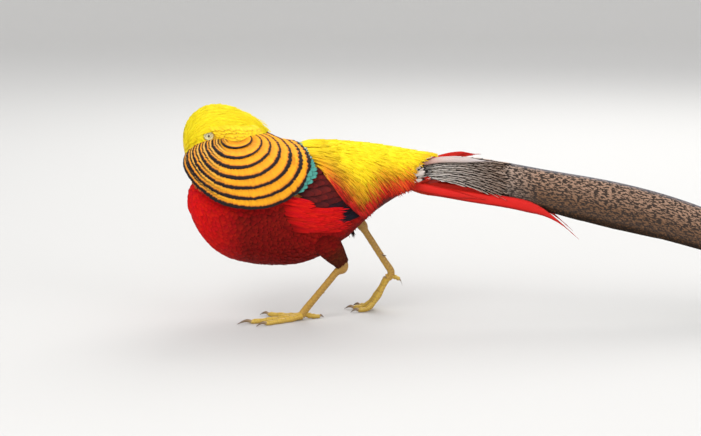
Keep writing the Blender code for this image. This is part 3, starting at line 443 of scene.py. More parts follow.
def ramp(tree, share, stops):  # each stop: place, red, green, blue
    node = addNode(tree, "ShaderNodeValToRGB", {0: share})
    elements = node.color_ramp.elements
    while len(elements) < len(stops):
        elements.new(0.5)
    for element, (place, *colour) in zip(elements, stops):
        element.position, element.color = place, (*colour, 1.0)
    return node.outputs[0]


def makeBarbs():  # fine barbs that leave the shaft at a slant, with their shade and height
    inputs, outputs = {"Count": 24.0, "Slant": 4.0, "Depth": 0.25}, {"Shade": "Float", "Height": "Float"}
    group, given, out = newGroup("barbs", inputs, outputs)
    away = maths(group, "ABSOLUTE", read(group, "across"))
    phase = maths(group, "SUBTRACT", maths(group, "MULTIPLY", read(group, "along"), given["Count"]),
                  maths(group, "MULTIPLY", away, given["Slant"]))
    wave = maths(group, "SINE", maths(group, "MULTIPLY", phase, 2 * math.pi))
    shaft = maths(group, "SUBTRACT", 1.0, maths(group, "MINIMUM", maths(group, "MULTIPLY", away, 9.0), 1.0))
    uneven = maths(group, "MULTIPLY_ADD", wave, 0.5, 0.5)
    feed(group, out["Shade"], maths(group, "SUBTRACT", 1.0, maths(group, "MULTIPLY", uneven, given["Depth"])))
    feed(group, out["Height"], maths(group, "MULTIPLY_ADD", wave, 0.5, shaft))
    return group


def makeFeatherTone():  # each feather's own shade
    group, given, out = newGroup(
        "featherTone", {"Colour": (1, 1, 1, 1), "Spread": 0.25, "Barb Shade": 1.0}, {"Colour": "Color"})
    tint = read(group, "tint")
    value = maths(group, "MULTIPLY_ADD", maths(group, "SUBTRACT", tint, 0.5), given["Spread"], 1.0)
    hue = addNode(group, "ShaderNodeHueSaturation", {
        "Value": maths(group, "MULTIPLY", value, given["Barb Shade"]),
        "Hue": maths(group, "MULTIPLY_ADD", tint, 0.003, 0.4985), "Color": given["Colour"]})
    feed(group, out["Colour"], hue.outputs["Color"])
    return group


barbs, featherTone = makeBarbs(), makeFeatherTone()


def plainMaterial(name, roughness, specular=0.5, coat=0.0, sheen=0.0):
    material = bpy.data.materials.new(name)
    material.use_nodes = True
    shader = material.node_tree.nodes["Principled BSDF"].inputs
    values = {"Roughness": roughness, "Specular IOR Level": specular, "Coat Weight": coat, "Sheen Weight": sheen}
    for label, value in values.items():
        shader[label].default_value = value
    return material, material.node_tree, shader


def addBump(tree, shader, height, strength, distance):
    bump = addNode(tree, "ShaderNodeBump", {"Strength": strength, "Distance": distance, "Height": height})
    feed(tree, shader["Normal"], bump.outputs["Normal"])


def barbFinish(tree, shader, colour, spread, count, slant, depth, bumps):  # each feather's shade and barbs
    fine = addNode(tree, "ShaderNodeGroup", {"Count": count, "Slant": slant, "Depth": depth}, node_tree=barbs)
    values = {"Colour": colour, "Spread": spread, "Barb Shade": fine.outputs["Shade"]}
    tone = addNode(tree, "ShaderNodeGroup", values, node_tree=featherTone)
    feed(tree, shader["Base Color"], tone.outputs["Colour"])
    addBump(tree, shader, fine.outputs["Height"], *bumps)


def alongMark(tree, stops, markStops):  # colours from root to tip, drawn towards others by the mark
    along = read(tree, "along")
    return mixColours(tree, read(tree, "mark"), ramp(tree, along, stops), ramp(tree, along, markStops))


def featherMaterial(name, colours, roughness=0.55, spread=0.3, count=18, slant=5, depth=0.2, specular=0.2, sheen=0.0):
    if name in bpy.data.materials:
        return bpy.data.materials[name]
    material, tree, shader = plainMaterial(name, roughness, specular, sheen=sheen)
    colour = colours(tree) if callable(colours) else alongMark(tree, *colours)
    barbFinish(tree, shader, colour, spread, count, slant, depth, (0.35, 0.0002))
    return material


def rimAbove(tree, wider, start):  # the vane's edge and tip
    away = maths(tree, "ABSOLUTE", read(tree, "across"))
    return maths(tree, "GREATER_THAN", maths(tree, "MAXIMUM", maths(tree, "ADD", away, wider), read(tree, "along")),
                 start)


# One Geometry Nodes tree lays every small feather
def makeFeatherTree():
    tree = bpy.data.node_groups.new("featherCoat", "GeometryNodeTree")
    for label, kind, value in (
        ("Geometry", "Geometry", None), ("Vane", "Object", None), ("Finish", "Material", None),
        ("Length", "Float", 1.0), ("Width", "Float", 1.0), ("Unevenness", "Float", 0.1), ("Seed", "Int", 1),
    ):
        socket = tree.interface.new_socket(name=label, in_out="INPUT", socket_type="NodeSocket" + kind)
        if value is not None:
            socket.default_value = value
    tree.interface.new_socket(name="Geometry", in_out="OUTPUT", socket_type="NodeSocketGeometry")
    given, end = tree.nodes.new("NodeGroupInput").outputs, tree.nodes.new("NodeGroupOutput").inputs

    def carried(name):
        node = addNode(tree, "GeometryNodeInputNamedAttribute", {"Name": name}, data_type="FLOAT_VECTOR")
        return node.outputs["Attribute"]

    axes = {"Primary Axis": carried("lie"), "Secondary Axis": carried("aim")}
    turn = addNode(tree, "FunctionNodeAxesToRotation", axes, primary_axis="Z", secondary_axis="X")
    uneven = addNode(tree, "FunctionNodeRandomValue", {
        "Min": maths(tree, "SUBTRACT", 1.0, given["Unevenness"]), "Max": maths(tree, "ADD", 1.0, given["Unevenness"]),
        "Seed": given["Seed"]}, data_type="FLOAT")
    length = maths(tree, "MULTIPLY", given["Length"], uneven.outputs["Value"])
    whole = addNode(tree, "ShaderNodeCombineXYZ", {0: length, 1: given["Width"], 2: 1.0})
    sized = addNode(tree, "ShaderNodeVectorMath", {0: carried("size"), 1: whole.outputs[0]}, operation="MULTIPLY")
    vane = addNode(tree, "GeometryNodeObjectInfo", {"Object": given["Vane"]})
    lay = addNode(tree, "GeometryNodeInstanceOnPoints", {
        "Points": given["Geometry"], "Instance": vane.outputs["Geometry"], "Rotation": turn.outputs["Rotation"],
        "Scale": sized.outputs[0]})
    solid = addNode(tree, "GeometryNodeRealizeInstances", {"Geometry": lay.outputs["Instances"]})
    finish = addNode(tree, "GeometryNodeSetMaterial", {
        "Geometry": solid.outputs["Geometry"], "Material": given["Finish"]})
    feed(tree, end["Geometry"], finish.outputs["Geometry"])
    return tree


featherTree = makeFeatherTree()


def makeVane(name, outline, steps, camber=0.1):  # outline gives the half width at each step
    sides = (-1, 0, 1)
    grid = [[Vector((s, across * half, -s * s + camber * (1 - across * across))) for across in sides]
            for s, half in zip(steps, outline)]
    verts, faces, twin = sealedGrid(grid, 0.0)
    for index in twin.values():
        verts[index] = verts[index] - Vector((0, 0, camber * 1.2))
    mesh = meshFrom(name, verts, faces)
    top = [(s, across) for s in steps for across in sides]
    params = top + [top[i * 3 + j] for i, j in twin]
    setValues(mesh, "along", [p[0] for p in params])
    setValues(mesh, "across", [p[1] for p in params])
    smoothFaces(mesh)
    rim = {i * 3 + j for i in range(len(steps)) for j in range(3) if i in (0, len(steps) - 1) or j != 1}
    for edge in mesh.edges:
        edge.use_edge_sharp = edge.vertices[0] in rim and edge.vertices[1] in rim
    return newObject(name, mesh)


roundVane = makeVane("roundVane", (0.16, 0.42, 0.5, 0.33, 0.1), (0.0, 0.35, 0.72, 0.93, 1.0))
squareVane = makeVane("squareVane", (0.22, 0.42, 0.5, 0.49, 0.38), (0.0, 0.35, 0.75, 0.95, 1.0))
silkVane = makeVane("silkVane", (0.2, 0.5, 0.4, 0.03), (0.0, 0.35, 0.75, 1.0))
leafVane = makeVane("leafVane", (0.2, 0.5, 0.45, 0.25, 0.03), (0.0, 0.35, 0.65, 0.88, 1.0))


def addFeather(coat, points, out, width, tint, mark=0.0, seat=(0.5, 0.5), leastDrop=0.0008):
    root, middle, tip = points
    chord = tip - root
    drop = max((middle - (root + tip) / 2).dot(out) * 4, leastDrop)
    aim = (chord + out * drop).normalized()
    lie = (out - aim * out.dot(aim)).normalized()
    coat.append((root, aim, lie, (chord.length, width, drop), tint, mark, seat))


def layFeather(coat, surface, start, flow, lifts, width, tint, mark=0.0, seat=(0.5, 0.5)):
    points = [surface(start[0] + flow[0] * s, start[1] + flow[1] * s, lift) for s, lift in zip((0, 0.5, 1), lifts)]
    place = (start[0] + flow[0] * 0.5, start[1] + flow[1] * 0.5)
    out = (surface(*place, 0.01) - surface(*place, 0.0)).normalized()
    addFeather(coat, points, out, width, tint, mark, seat)


def makeCoat(name, coat, vane, material, slot, *nodes, unevenness=0.08, seed=1):
    mesh = meshFrom(name + "Seats", toWorld([row[0] for row in coat]), [])
    for k, label in enumerate(("aim", "lie", "size", "tint", "mark"), 1):
        setValues(mesh, label, [row[k] for row in coat])
    setValues(mesh, "seat", [(*row[6], 0.0) for row in coat])
    seats = newObject(name + "Seats", mesh)
    layer = seats.modifiers.new("feathers", "NODES")
    layer.node_group = featherTree
    values = {"Vane": vane, "Finish": material, "Unevenness": unevenness, "Seed": seed}
    for item in featherTree.interface.items_tree:
        if item.in_out == "INPUT" and item.name in values:
            layer[item.identifier] = values[item.name]
    whole = evaluated(seats)
    whole.name = name
    spread = np.hstack([getValues(whole, "along", 1) - 0.5, getValues(whole, "across", 1) * 0.5])
    bakeMap(whole, getValues(whole, "seat", 3)[:, :2] * 0.98 + 0.01 + spread * 0.003)
    for label in ("aim", "lie", "size", "seat"):
        whole.attributes.remove(whole.attributes[label])
    report(f"{name}, {len(coat)} feathers, {sum(len(p.vertices) - 2 for p in whole.polygons)} triangles")
    return keepPiece(name, whole, None, slot, *nodes)


# Skin: one soft body under all the feathers
skinSizes = {"sunk": 0.0016, "voxel": 0.0024, "smoothing": 6, "crown": 0.86, "socket": 0.006, "socketDepth": 0.0118}


def ringLoft(shape, rings):
    rows = [[shape.verts.new(point) for point in ring] for ring in rings]
    sides = len(rings[0])
    for low, high in zip(rows, rows[1:]):
        for k in range(sides):
            shape.faces.new((low[k], high[k], high[(k + 1) % sides], low[(k + 1) % sides]))
    shape.faces.new(rows[0])
    shape.faces.new(rows[-1])


def skinMaterial():  # carries the same markings as the coat, part by part
    material, tree, shader = plainMaterial("skin", 0.75)
    place = objectPlace(tree)
    centred = addNode(tree, "ShaderNodeMapping", {"Location": -shift, "Vector": place})
    split = addNode(tree, "ShaderNodeSeparateXYZ", {0: centred.outputs[0]})
    x, z = split.outputs["X"], split.outputs["Z"]

    def product(first, second):
        return maths(tree, "MULTIPLY", climb(tree, *first), climb(tree, *second))

    forward, below = (maths(tree, "MULTIPLY", value, -1.0) for value in (x, z))
    grain = addNode(tree, "ShaderNodeTexNoise", {"Scale": 260.0, "Vector": place}).outputs["Fac"]
    breast = mixColours(tree, climb(tree, x, -0.06, 0.06), (0.42, 0.008, 0.01), (0.22, 0.02, 0.012))
    back = mixColours(tree, climb(tree, z, 0.14, 0.012), (0.07, 0.015, 0.012), (0.85, 0.5, 0.01))
    colour = mixColours(tree, product((x, -0.05, 0.01), (z, 0.128, 0.008)), breast, back)
    colour = mixColours(tree, product((z, 0.135, 0.004), (forward, 0.056, 0.004)), colour, (0.8, 0.3, 0.02))
    colour = mixColours(tree, product((z, 0.182, 0.005), (forward, 0.08, 0.006)), colour, (0.88, 0.55, 0.02))
    colour = mixColours(tree, climb(tree, below, -0.088, 0.012), colour, (0.05, 0.009, 0.004))
    worn = mixColours(tree, grain, (0.35, 0.35, 0.35), (1, 1, 1))
    feed(tree, shader["Base Color"], mixColours(tree, 0.35, colour, worn, "MULTIPLY"))
    addBump(tree, shader, grain, 0.4, 0.0006)
    return material


def makeSkin():
    sizes = skinSizes
    shape = bmesh.new()
    rings = []
    for x in [-0.171 + 0.233 * k / 40 for k in range(41)] + [0.068, 0.074, 0.079]:
        less = min(0.8 * max(0.0, x - 0.062), 0.55 * trunkRadius(x))  # it ends inside the tail's root
        rings.append([trunkPoint(x, 9 * k, -sizes["sunk"] - less) for k in range(40)])
    ringLoft(shape, rings)
    ringLoft(shape, [[headSkin(-0.0262 + 0.041 * i / 16, 15 * k, -0.0003) for k in range(24)] for i in range(17)])
    dome = bmesh.new()
    for form, reaches, slim in ((capeSizes, [r - 0.001 for r in capeSizes["core"]], False),
                                (crestSizes, [r * sizes["crown"] for r in crestSizes["reaches"]], True)):
        bmesh.ops.create_uvsphere(dome, u_segments=40, v_segments=28, radius=1.0)
        for vert in dome.verts:
            direction = vert.co.normalized()
            point = form["middle"] + direction * domeRadius(direction, reaches, form["roundness"])
            vert.co = slimFace(point) if slim else point
        part = bpy.data.meshes.new("dome")
        dome.to_mesh(part)
        shape.from_mesh(part)
        dome.clear()
    dome.free()
    for name in ("left", "right"):
        steps = [row[0] for row in legSizes["thighSkin"]]
        ringLoft(shape, [[thighPoint(name, t, a, 0.0) for a in range(0, 360, 20)] for t in steps])
    bmesh.ops.recalc_face_normals(shape, faces=shape.faces)
    mesh = bpy.data.meshes.new("skin")
    for vert in shape.verts:
        vert.co += shift
    shape.to_mesh(mesh)
    shape.free()
    thing = newObject("skin", mesh)
    melt = thing.modifiers.new("melt", "REMESH")
    melt.mode, melt.voxel_size = "VOXEL", sizes["voxel"]
    thing.modifiers.new("relax", "SMOOTH").iterations = sizes["smoothing"]
    mesh = evaluated(thing)
    for vert in mesh.vertices:  # a socket round each eye
        place = vert.co - shift
        away = math.hypot(place.x - eyePlaces[0].x, place.z - eyePlaces[0].z)
        limit = sizes["socketDepth"] + max(0.0, away - 0.0045) * 1.6
        if away < sizes["socket"] and abs(place.y) > limit:
            vert.co.y = math.copysign(limit, place.y) + shift.y
    smoothFaces(mesh)
    report("skin")
    nodes = ("torso", "neck", "head", "rump", "thigh_left", "thigh_right")
    return keepPiece("skin", mesh, skinMaterial(), "red_plumage", *nodes)


skin = makeSkin()


# Breast, belly and flanks
breastSizes = {
    "rows": 72, "firstX": -0.173, "lastX": 0.034, "aroundStep": 0.0031, "length": 0.0125, "width": 0.0052,
    "lifts": (-0.0006, 0.0011, 0.0014), "seed": 3,
}


def breastFlow(x, angle, length):  # down over the front, then back along the body
    bend = clamp((-0.075 - x) / 0.075)
    belly = max(0.0, math.cos(math.radians(180 - abs(angle))))
    down = (0.25 + 0.75 * bend) * (1 - 0.85 * belly)
    back = math.sqrt(max(0.05, 1 - down * down))
    radius = trunkRadius(x)
    return (length * back, math.copysign(math.degrees(length * down / radius), angle))


def layBreast():
    sizes = breastSizes
    draw = random.Random(sizes["seed"])
    coat = []
    for i, t in spaced(sizes["rows"]):
        x = between(sizes["firstX"], sizes["lastX"], t ** 1.35)
        step = math.degrees(sizes["aroundStep"] / trunkRadius(x))
        first = (28 if x < -0.1 else 60) + step * 0.5 * (i % 2)
        for side, angle in ((side, angle) for side in (1, -1) for angle in stepped(first, 181, step)):
            a, place = angle + draw.uniform(-0.35, 0.35) * step, x + draw.uniform(-0.0013, 0.0013)
            height = trunkPoint(place, a).z
            if place > -0.03 and height > 0.15 - (place + 0.03) * 0.5 or place > -0.072 and a < 94:
                continue  # the wing and the rump lie there
            length = sizes["length"] * draw.uniform(0.85, 1.15) * min(1.0, 0.55 + 5.0 * (place - sizes["firstX"]))
            lift = draw.uniform(0.8, 1.4)
            lifts = (sizes["lifts"][0], sizes["lifts"][1] * lift, sizes["lifts"][2] * lift)
            # The mark is partly painted shade: the cape's shadow over the upper breast and a darker belly, lighter at
            # the front and on the flanks; partly the belly's own deeper red
            shade = clamp((place + 0.16) / 0.042) * clamp((a - 62) / 22)
            shade *= 1.0 - 0.5 * clamp((place + 0.072) / 0.05) * clamp((150 - a) / 40)
            shade = clamp(shade + draw.uniform(-0.04, 0.04))
            layFeather(coat, trunkPoint, (place, side * a), breastFlow(place, side * a, length), lifts,
                       sizes["width"] * draw.uniform(0.85, 1.15), draw.random(), shade, (0.5 + side * a / 400, t))
    colours = ([(0.0, 0.3, 0.002, 0.002), (0.55, 0.6, 0.004, 0.004), (0.92, 0.74, 0.006, 0.006),
                (1.0, 0.6, 0.004, 0.004)],
               [(0.0, 0.06, 0.002, 0.001), (0.6, 0.14, 0.003, 0.002), (0.9, 0.22, 0.005, 0.003),
                (0.95, 0.09, 0.002, 0.001), (1.0, 0.06, 0.002, 0.001)])
    material = featherMaterial("breastFeathers", colours, 0.8, 0.1, depth=0.1, specular=0.1)
    makeCoat("breastCoat", coat, roundVane, material, "red_plumage")


# Cape: tiers of broad barred feathers that open round the near cheek
capeLaying = {
    "tiers": (0.275, 0.425, 0.54, 0.655, 0.775, 0.895, 1.0), "radius": 0.062, "ring": 0.066, "rows": 2, "seed": 17,
    "spread": {"left": (-114.0, 46.0), "right": (-114.0, 0.0)},
    "lowSpread": {"left": (-122.0, 88.0), "right": (-122.0, 62.0)},
    "spacing": 0.003, "width": 0.008, "length": 0.0215,
}


def capeColours(tree):
    along = read(tree, "along")
    plain = ramp(tree, along, [(0.0, 0.55, 0.18, 0.01), (0.55, 0.92, 0.34, 0.008), (0.78, 0.95, 0.44, 0.012),
                               (0.86, 0.78, 0.22, 0.012), (0.89, 0.02, 0.009, 0.008), (1.0, 0.01, 0.007, 0.009)])
    # In the doubled bars, the paler stop just past the first black bar is a painted highlight, the glint along the
    # glossy edge beside the black
    twice = ramp(tree, along, [(0.0, 0.6, 0.22, 0.02), (0.5, 0.85, 0.42, 0.02), (0.58, 0.02, 0.01, 0.01),
                               (0.65, 0.02, 0.01, 0.01), (0.68, 0.94, 0.5, 0.12), (0.74, 0.94, 0.46, 0.05),
                               (0.765, 0.02, 0.01, 0.01), (0.815, 0.02, 0.01, 0.01), (0.84, 0.92, 0.38, 0.03),
                               (0.89, 0.84, 0.28, 0.02), (0.915, 0.014, 0.008, 0.01), (1.0, 0.01, 0.007, 0.009)])
    return mixColours(tree, read(tree, "mark"), plain, twice)


def layCape():
    sizes = capeLaying
    draw = random.Random(sizes["seed"])
    material = featherMaterial("capeFeathers", capeColours, 0.55, 0.16, 26, 7, 0.16)
    for side, name in bothSides:
        coat = []
        surface = lambda polar, around, lift: capePoint(polar, around, lift, side)
        for order, share in enumerate(sizes["tiers"]):
            ends = [between(a, b, share) for a, b in zip(sizes["spread"][name], sizes["lowSpread"][name])]
            arc = sizes["ring"] * math.sin(math.radians(76 * share)) * math.radians(ends[1] - ends[0])
            count = max(5, round(arc / sizes["spacing"]))
            lift = 0.0001 * order
            for half, k in ((half, k) for half in range(sizes["rows"]) for k in range(count)):
                around = ends[0] + (ends[1] - ends[0]) * (k + 0.5 * half) / count + draw.uniform(-0.5, 0.5)
                edge = smoothRow(capeSizes["edges"], around)[0]
                tip = edge * share + draw.uniform(-0.12, 0.12) - half * 0.3
                length = min(sizes["length"] * (0.62 + 0.38 * share), math.radians(tip + 6) * sizes["radius"])
                run = math.degrees(length / sizes["radius"])
                layFeather(coat, surface, (tip - run, around), (run, 0.0),
                           (-0.0024 + lift, -0.0004 + lift, 0.0007 + lift - 0.0003 * half),
                           sizes["width"] * draw.uniform(0.9, 1.1), draw.random(),
                           clamp((around + 8) / 40) * min(1.0, share * 2.2), (0.5 + around / 400, 0.1 + 0.8 * share))
        makeCoat("cape" + name.capitalize(), coat, squareVane, material, "cape_plumage", unevenness=0.012,
                 seed=side + 5)


# Crest: silky strands from the forehead over the crown to the nape
crestLaying = {
    "rows": 74, "spacing": 0.00095, "length": 0.024, "width": 0.0015, "strays": 70, "seed": 23,
    "radius": 0.042, "ring": 0.038, "bill": (0.01, 0.042, -0.006, 0.0052),
}


def aboveRim(place):
    return pictureHeight(place) > smoothRow(crestSizes["rim"], place.x)[0]


def clearOfBill(place):
    first, last, up, reach = crestLaying["bill"]
    root, tip = headPoint(first, 0, up), headPoint(last, 0, up - 0.004)
    share = clamp((place - root).dot(tip - root) / (tip - root).length_squared)
    return (place - root.lerp(tip, share)).length > reach


def layCrest():
    sizes = crestLaying
    draw = random.Random(sizes["seed"])
    coat = []
    for i, t in spaced(sizes["rows"]):
        along, widest = 3 + 155 * t, 118 - 14 * t
        step = math.degrees(sizes["spacing"] / (sizes["ring"] * math.sin(math.radians(max(along, 12)))))
        for around in stepped(-widest, widest, step):
            a, start = around + draw.uniform(-0.5, 0.5) * step, along + draw.uniform(-2.5, 2.5)
            run = min(math.degrees(sizes["length"] * draw.uniform(0.75, 1.2) / sizes["radius"]), 170 - start)
            root = crestPoint(start, a, 0)
            while run > 6:  # shortened until it stays off the eyes, the bill and the first bars
                places = [crestPoint(start + run * share, a, 0) for share in (0.5, 0.8, 1.0)]
                if all(clearOfEyes(p, 0.006) and clearOfBill(p) and aboveRim(p) for p in places):
                    break
                run -= 3
            if run <= 6 or not clearOfEyes(root, 0.0058) or not aboveRim(root):
                continue
            layFeather(coat, crestPoint, (start, a), (run, draw.uniform(-2, 2)),
                       (-0.003, -0.0019, draw.uniform(-0.0019, -0.0012)), sizes["width"] * draw.uniform(0.8, 1.3),
                       draw.random(), draw.random() ** 2, (0.5 + a / 300, 0.05 + 0.9 * t))
    for k in range(sizes["strays"]):
        start, a = draw.uniform(88, 146), draw.uniform(-46, 46)
        run = min(draw.uniform(26, 40), 178 - start)
        layFeather(coat, crestPoint, (start, a), (run, draw.uniform(-4, 4)),
                   (-0.002, -0.0008, draw.uniform(0.0, 0.002)),
                   sizes["width"] * 0.4, draw.random(), 0.6, (0.5 + a / 300, 0.9))
    colours = ([(0.0, 0.95, 0.62, 0.006), (0.6, 1.0, 0.8, 0.008), (1.0, 1.0, 0.84, 0.01)],
               [(0.0, 0.92, 0.52, 0.006), (0.6, 1.0, 0.72, 0.008), (1.0, 1.0, 0.76, 0.01)])
    material = featherMaterial("crestSilk", colours, 0.5, 0.1, 6, 2, 0.05, sheen=0.03)
    makeCoat("crestCoat", coat, silkVane, material, "crest_plumage", "crest")


# Face: small close feathers on the cheeks, brow and chin
faceLaying = {
    "rows": 30, "spacing": 0.0015, "length": 0.0052, "width": 0.0021, "seed": 29, "bare": 0.0064,
    "patch": (20, 19), "patchStep": (0.0015, 0.0013), "patchLength": 0.0036, "patchWidth": 0.0019,
}


def faceColours(tree):
    kind = ramp(tree, read(tree, "mark"), [
        (0.0, 1.0, 0.74, 0.012), (0.45, 0.92, 0.52, 0.02), (0.6, 0.86, 0.42, 0.03), (0.8, 1.0, 0.93, 0.7)])
    root = maths(tree, "MULTIPLY", maths(tree, "SUBTRACT", 1.0, read(tree, "along")), 0.5)
    return mixColours(tree, root, kind, (0.8, 0.44, 0.02))


def layFace():
    sizes = faceLaying
    draw = random.Random(sizes["seed"])
    coat = []
    for i, t in spaced(sizes["rows"]):
        along = 0.0145 - 0.036 * t
        step = math.degrees(sizes["spacing"] / max(smoothRow(headSizes["rows"], along)[0], 0.004))
        for angle in stepped(-180.0, 179.999, step):
            a, start = angle + draw.uniform(-0.4, 0.4) * step, along + draw.uniform(-0.0005, 0.0005)
            length = sizes["length"] * draw.uniform(0.8, 1.2) * (0.55 + 0.9 * t)
            place, tip = headSkin(start, a, 0.0), headSkin(start - length, a, 0.0)
            if min((p - eye).length for eye in eyePlaces for p in (place, tip, (place + tip) / 2)) < sizes["bare"]:
                continue
            back = place.x - eyePlaces[0].x
            low = back * 0.55 + (place.z - eyePlaces[0].z)
            streak = 0.0 < back < 0.01 and abs(low + 0.0035) < 0.0016 or not clearOfEyes(place, 0.0092)
            layFeather(coat, headSkin, (start, a), (-length, 0.0), (-0.0002, 0.0006, 0.0008),
                       sizes["width"] * draw.uniform(0.8, 1.2), draw.random(),
                       1.0 if streak else 0.5 * min(1.0, abs(a) / 180),
                       (0.5 + a / 400, 0.05 + 0.9 * t))
    surface = BVHTree.FromObject(skin, bpy.context.evaluated_depsgraph_get())
    # Then a patch round each eye, laid on the skin
    for (side, eye), i, j in itertools.product(zip((-1, 1), eyePlaces), *map(range, sizes["patch"])):
        x = eye.x - 0.011 + sizes["patchStep"][0] * i + draw.uniform(-0.0004, 0.0004)
        z = eye.z - 0.012 + sizes["patchStep"][1] * (j + 0.5 * (i % 2)) + draw.uniform(-0.0003, 0.0003)
        hit, out = surface.ray_cast(Vector((x, side * 0.06, z)) + shift, Vector((0, -side, 0)))[:2]
        away = math.hypot(x - eye.x, z - eye.z)
        if hit is None or away < 0.0053:
            continue
        place, flow = hit - shift, Vector((1.0, 0.0, -0.25 if z < eye.z else 0.15))
        aim = (flow - out * flow.dot(out)).normalized()
        length = sizes["patchLength"] * draw.uniform(0.85, 1.2)
        if clearOfEyes(place + aim * length, 0.005):
            points = [place + aim * length * share + out * lift
                      for share, lift in ((0, 0.0004), (0.5, 0.0012), (1, 0.0014))]
            addFeather(coat, points, out, sizes["patchWidth"] * draw.uniform(0.85, 1.2), draw.random(),
                       0.6 if away < 0.0075 else 0.2, (0.5 + 0.4 * side + x, 0.5 + z))
    makeCoat("faceCoat", coat, silkVane, featherMaterial("faceFeathers", faceColours, 0.6, 0.2, 5, 2, 0.1),
             "face_skin")


# Throat and neck: small rusty feathers on the skin, under the cape and between its edges
throatLaying = {"low": 0.126, "high": 0.198, "lastX": -0.05, "length": 0.009, "width": 0.0048, "seed": 67}


def layThroat():
    sizes = throatLaying
    draw = random.Random(sizes["seed"])
    coat = []
    for vert in skin.data.vertices:
        place, out = vert.co - shift, Vector(vert.normal)
        if not (sizes["low"] < place.z < sizes["high"] and place.x < sizes["lastX"]) or draw.random() < 0.45:
            continue
        ahead = place.x < -0.098
        if place.z > 0.186 and abs(place.y) < 0.016 and ahead or not clearOfEyes(place, 0.009):
            continue
        flow = Vector((0.25, 0.0, -1.0)) if ahead else Vector((1.0, 0.0, -0.25))
        aim = (flow - out * flow.dot(out)).normalized()
        length = sizes["length"] * draw.uniform(0.85, 1.2)
        root = place - out * 0.0003
        low = clamp((0.16 - place.z) / 0.012) * (1.0 if place.x < -0.13 else 0.4)
        addFeather(coat, (root, root + aim * length * 0.5 + out * 0.001, root + aim * length + out * 0.0012), out,
                   sizes["width"] * draw.uniform(0.85, 1.15), draw.random(), min(1.0, low + draw.uniform(0, 0.12)),
                   (0.5 + place.y * 8, 0.02 + 0.96 * (place.z - sizes["low"]) / (sizes["high"] - sizes["low"])))
    colours = ([(0.0, 0.4, 0.14, 0.02), (0.8, 0.72, 0.33, 0.06), (0.94, 0.8, 0.4, 0.08), (1.0, 0.4, 0.16, 0.04)],
               [(0.0, 0.3, 0.004, 0.003), (0.8, 0.62, 0.006, 0.005), (1.0, 0.4, 0.004, 0.004)])
    material = featherMaterial("throatFeathers", colours, 0.75, 0.15, 14, 5, 0.12, 0.12)
    makeCoat("throatCoat", coat, roundVane, material, "cape_plumage")


# Nape: short rounded feathers, tipped brown, from the crest's rim down to the first bars of the cape
napeLaying = {
    "rows": 12, "from": 44.0, "to": 110.0, "spacing": 0.0034, "length": 0.01, "width": 0.0052, "run": 9.0,
    "turn": 10.0, "top": 0.201, "foot": 0.178, "radius": 0.044, "seed": 61,
}


def layNape():
    sizes = napeLaying
    coat = []
    for side in (-1, 1):
        draw = random.Random(sizes["seed"])
        for i in range(sizes["rows"]):
            around = sizes["to"] - (sizes["to"] - sizes["from"]) * i / (sizes["rows"] - 1)
            for along in stepped(52.0 + 2.5 * (i % 2), 151.999, math.degrees(sizes["spacing"] / sizes["radius"])):
                start, a = along + draw.uniform(-1, 1), around + draw.uniform(-1, 1)
                flow = (sizes["run"] * draw.uniform(0.85, 1.15), side * sizes["turn"] * draw.uniform(0.85, 1.15))
                tip = crestPoint(start + flow[0], side * a + flow[1], 0)
                if (not sizes["foot"] < pictureHeight(tip) < sizes["top"] or tip.x < eyePlaces[0].x + 0.005
                        or not clearOfEyes(tip, 0.0078) or not clearOfEyes(crestPoint(start, side * a, 0), 0.0074)):
                    continue
                layFeather(coat, crestPoint, (start, side * a), flow, (-0.0022, 0.0001, 0.0006 + 0.00004 * i),
                           sizes["width"] * draw.uniform(0.85, 1.15), draw.random(),
                           draw.random() * 0.3 + 0.06 * (sizes["rows"] - 1 - i), (0.5 + side * a / 300, start / 180))
    colours = ([(0.0, 0.96, 0.62, 0.01), (0.8, 1.0, 0.78, 0.02), (0.94, 1.0, 0.68, 0.02), (1.0, 0.84, 0.42, 0.02)],
               [(0.0, 0.9, 0.45, 0.01), (0.8, 1.0, 0.52, 0.012), (0.9, 0.9, 0.36, 0.02), (0.95, 0.25, 0.08, 0.02),
                (1.0, 0.12, 0.04, 0.02)])
    material = featherMaterial("napeFeathers", colours, 0.6, 0.12, 14, 5, 0.1)
    makeCoat("napeCoat", coat, roundVane, material, "crest_plumage", unevenness=0.03)


# Mantle: green scales with black rims behind the cape, some painted with a white highlight along the shaft
mantleLaying = {
    "edge": [(0.0, -0.047), (25.0, -0.045), (42.0, -0.038), (55.0, -0.035), (62.0, -0.0385), (70.0, -0.048),
             (80.0, -0.058), (96.0, -0.066)],  # angle down the side, x of the last tips
    "tiers": (0.018, 0.011, 0.005, 0.0), "reach": 72.0, "step": 4.0, "length": 0.02, "width": 0.0064, "seed": 31,
}


def mantleColours(tree):
    away = maths(tree, "ABSOLUTE", read(tree, "across"))
    middle = ramp(tree, read(tree, "along"), [
        (0.0, 0.01, 0.05, 0.04), (0.5, 0.03, 0.2, 0.16), (1.0, 0.07, 0.33, 0.27)])
    # Painted highlight: a bluish-white glint along the shaft of some upper feathers, where the sky shines on the
    # glossy green
    paintedGlint = maths(tree, "MULTIPLY", maths(tree, "GREATER_THAN", read(tree, "mark"), 0.9),
                  maths(tree, "LESS_THAN", away, 0.32))
    pale = mixColours(tree, paintedGlint, middle, (0.8, 0.85, 0.85))
    return mixColours(tree, maths(tree, "MULTIPLY", rimAbove(tree, 0.04, 0.96), 0.6), pale, (0.01, 0.045, 0.042))


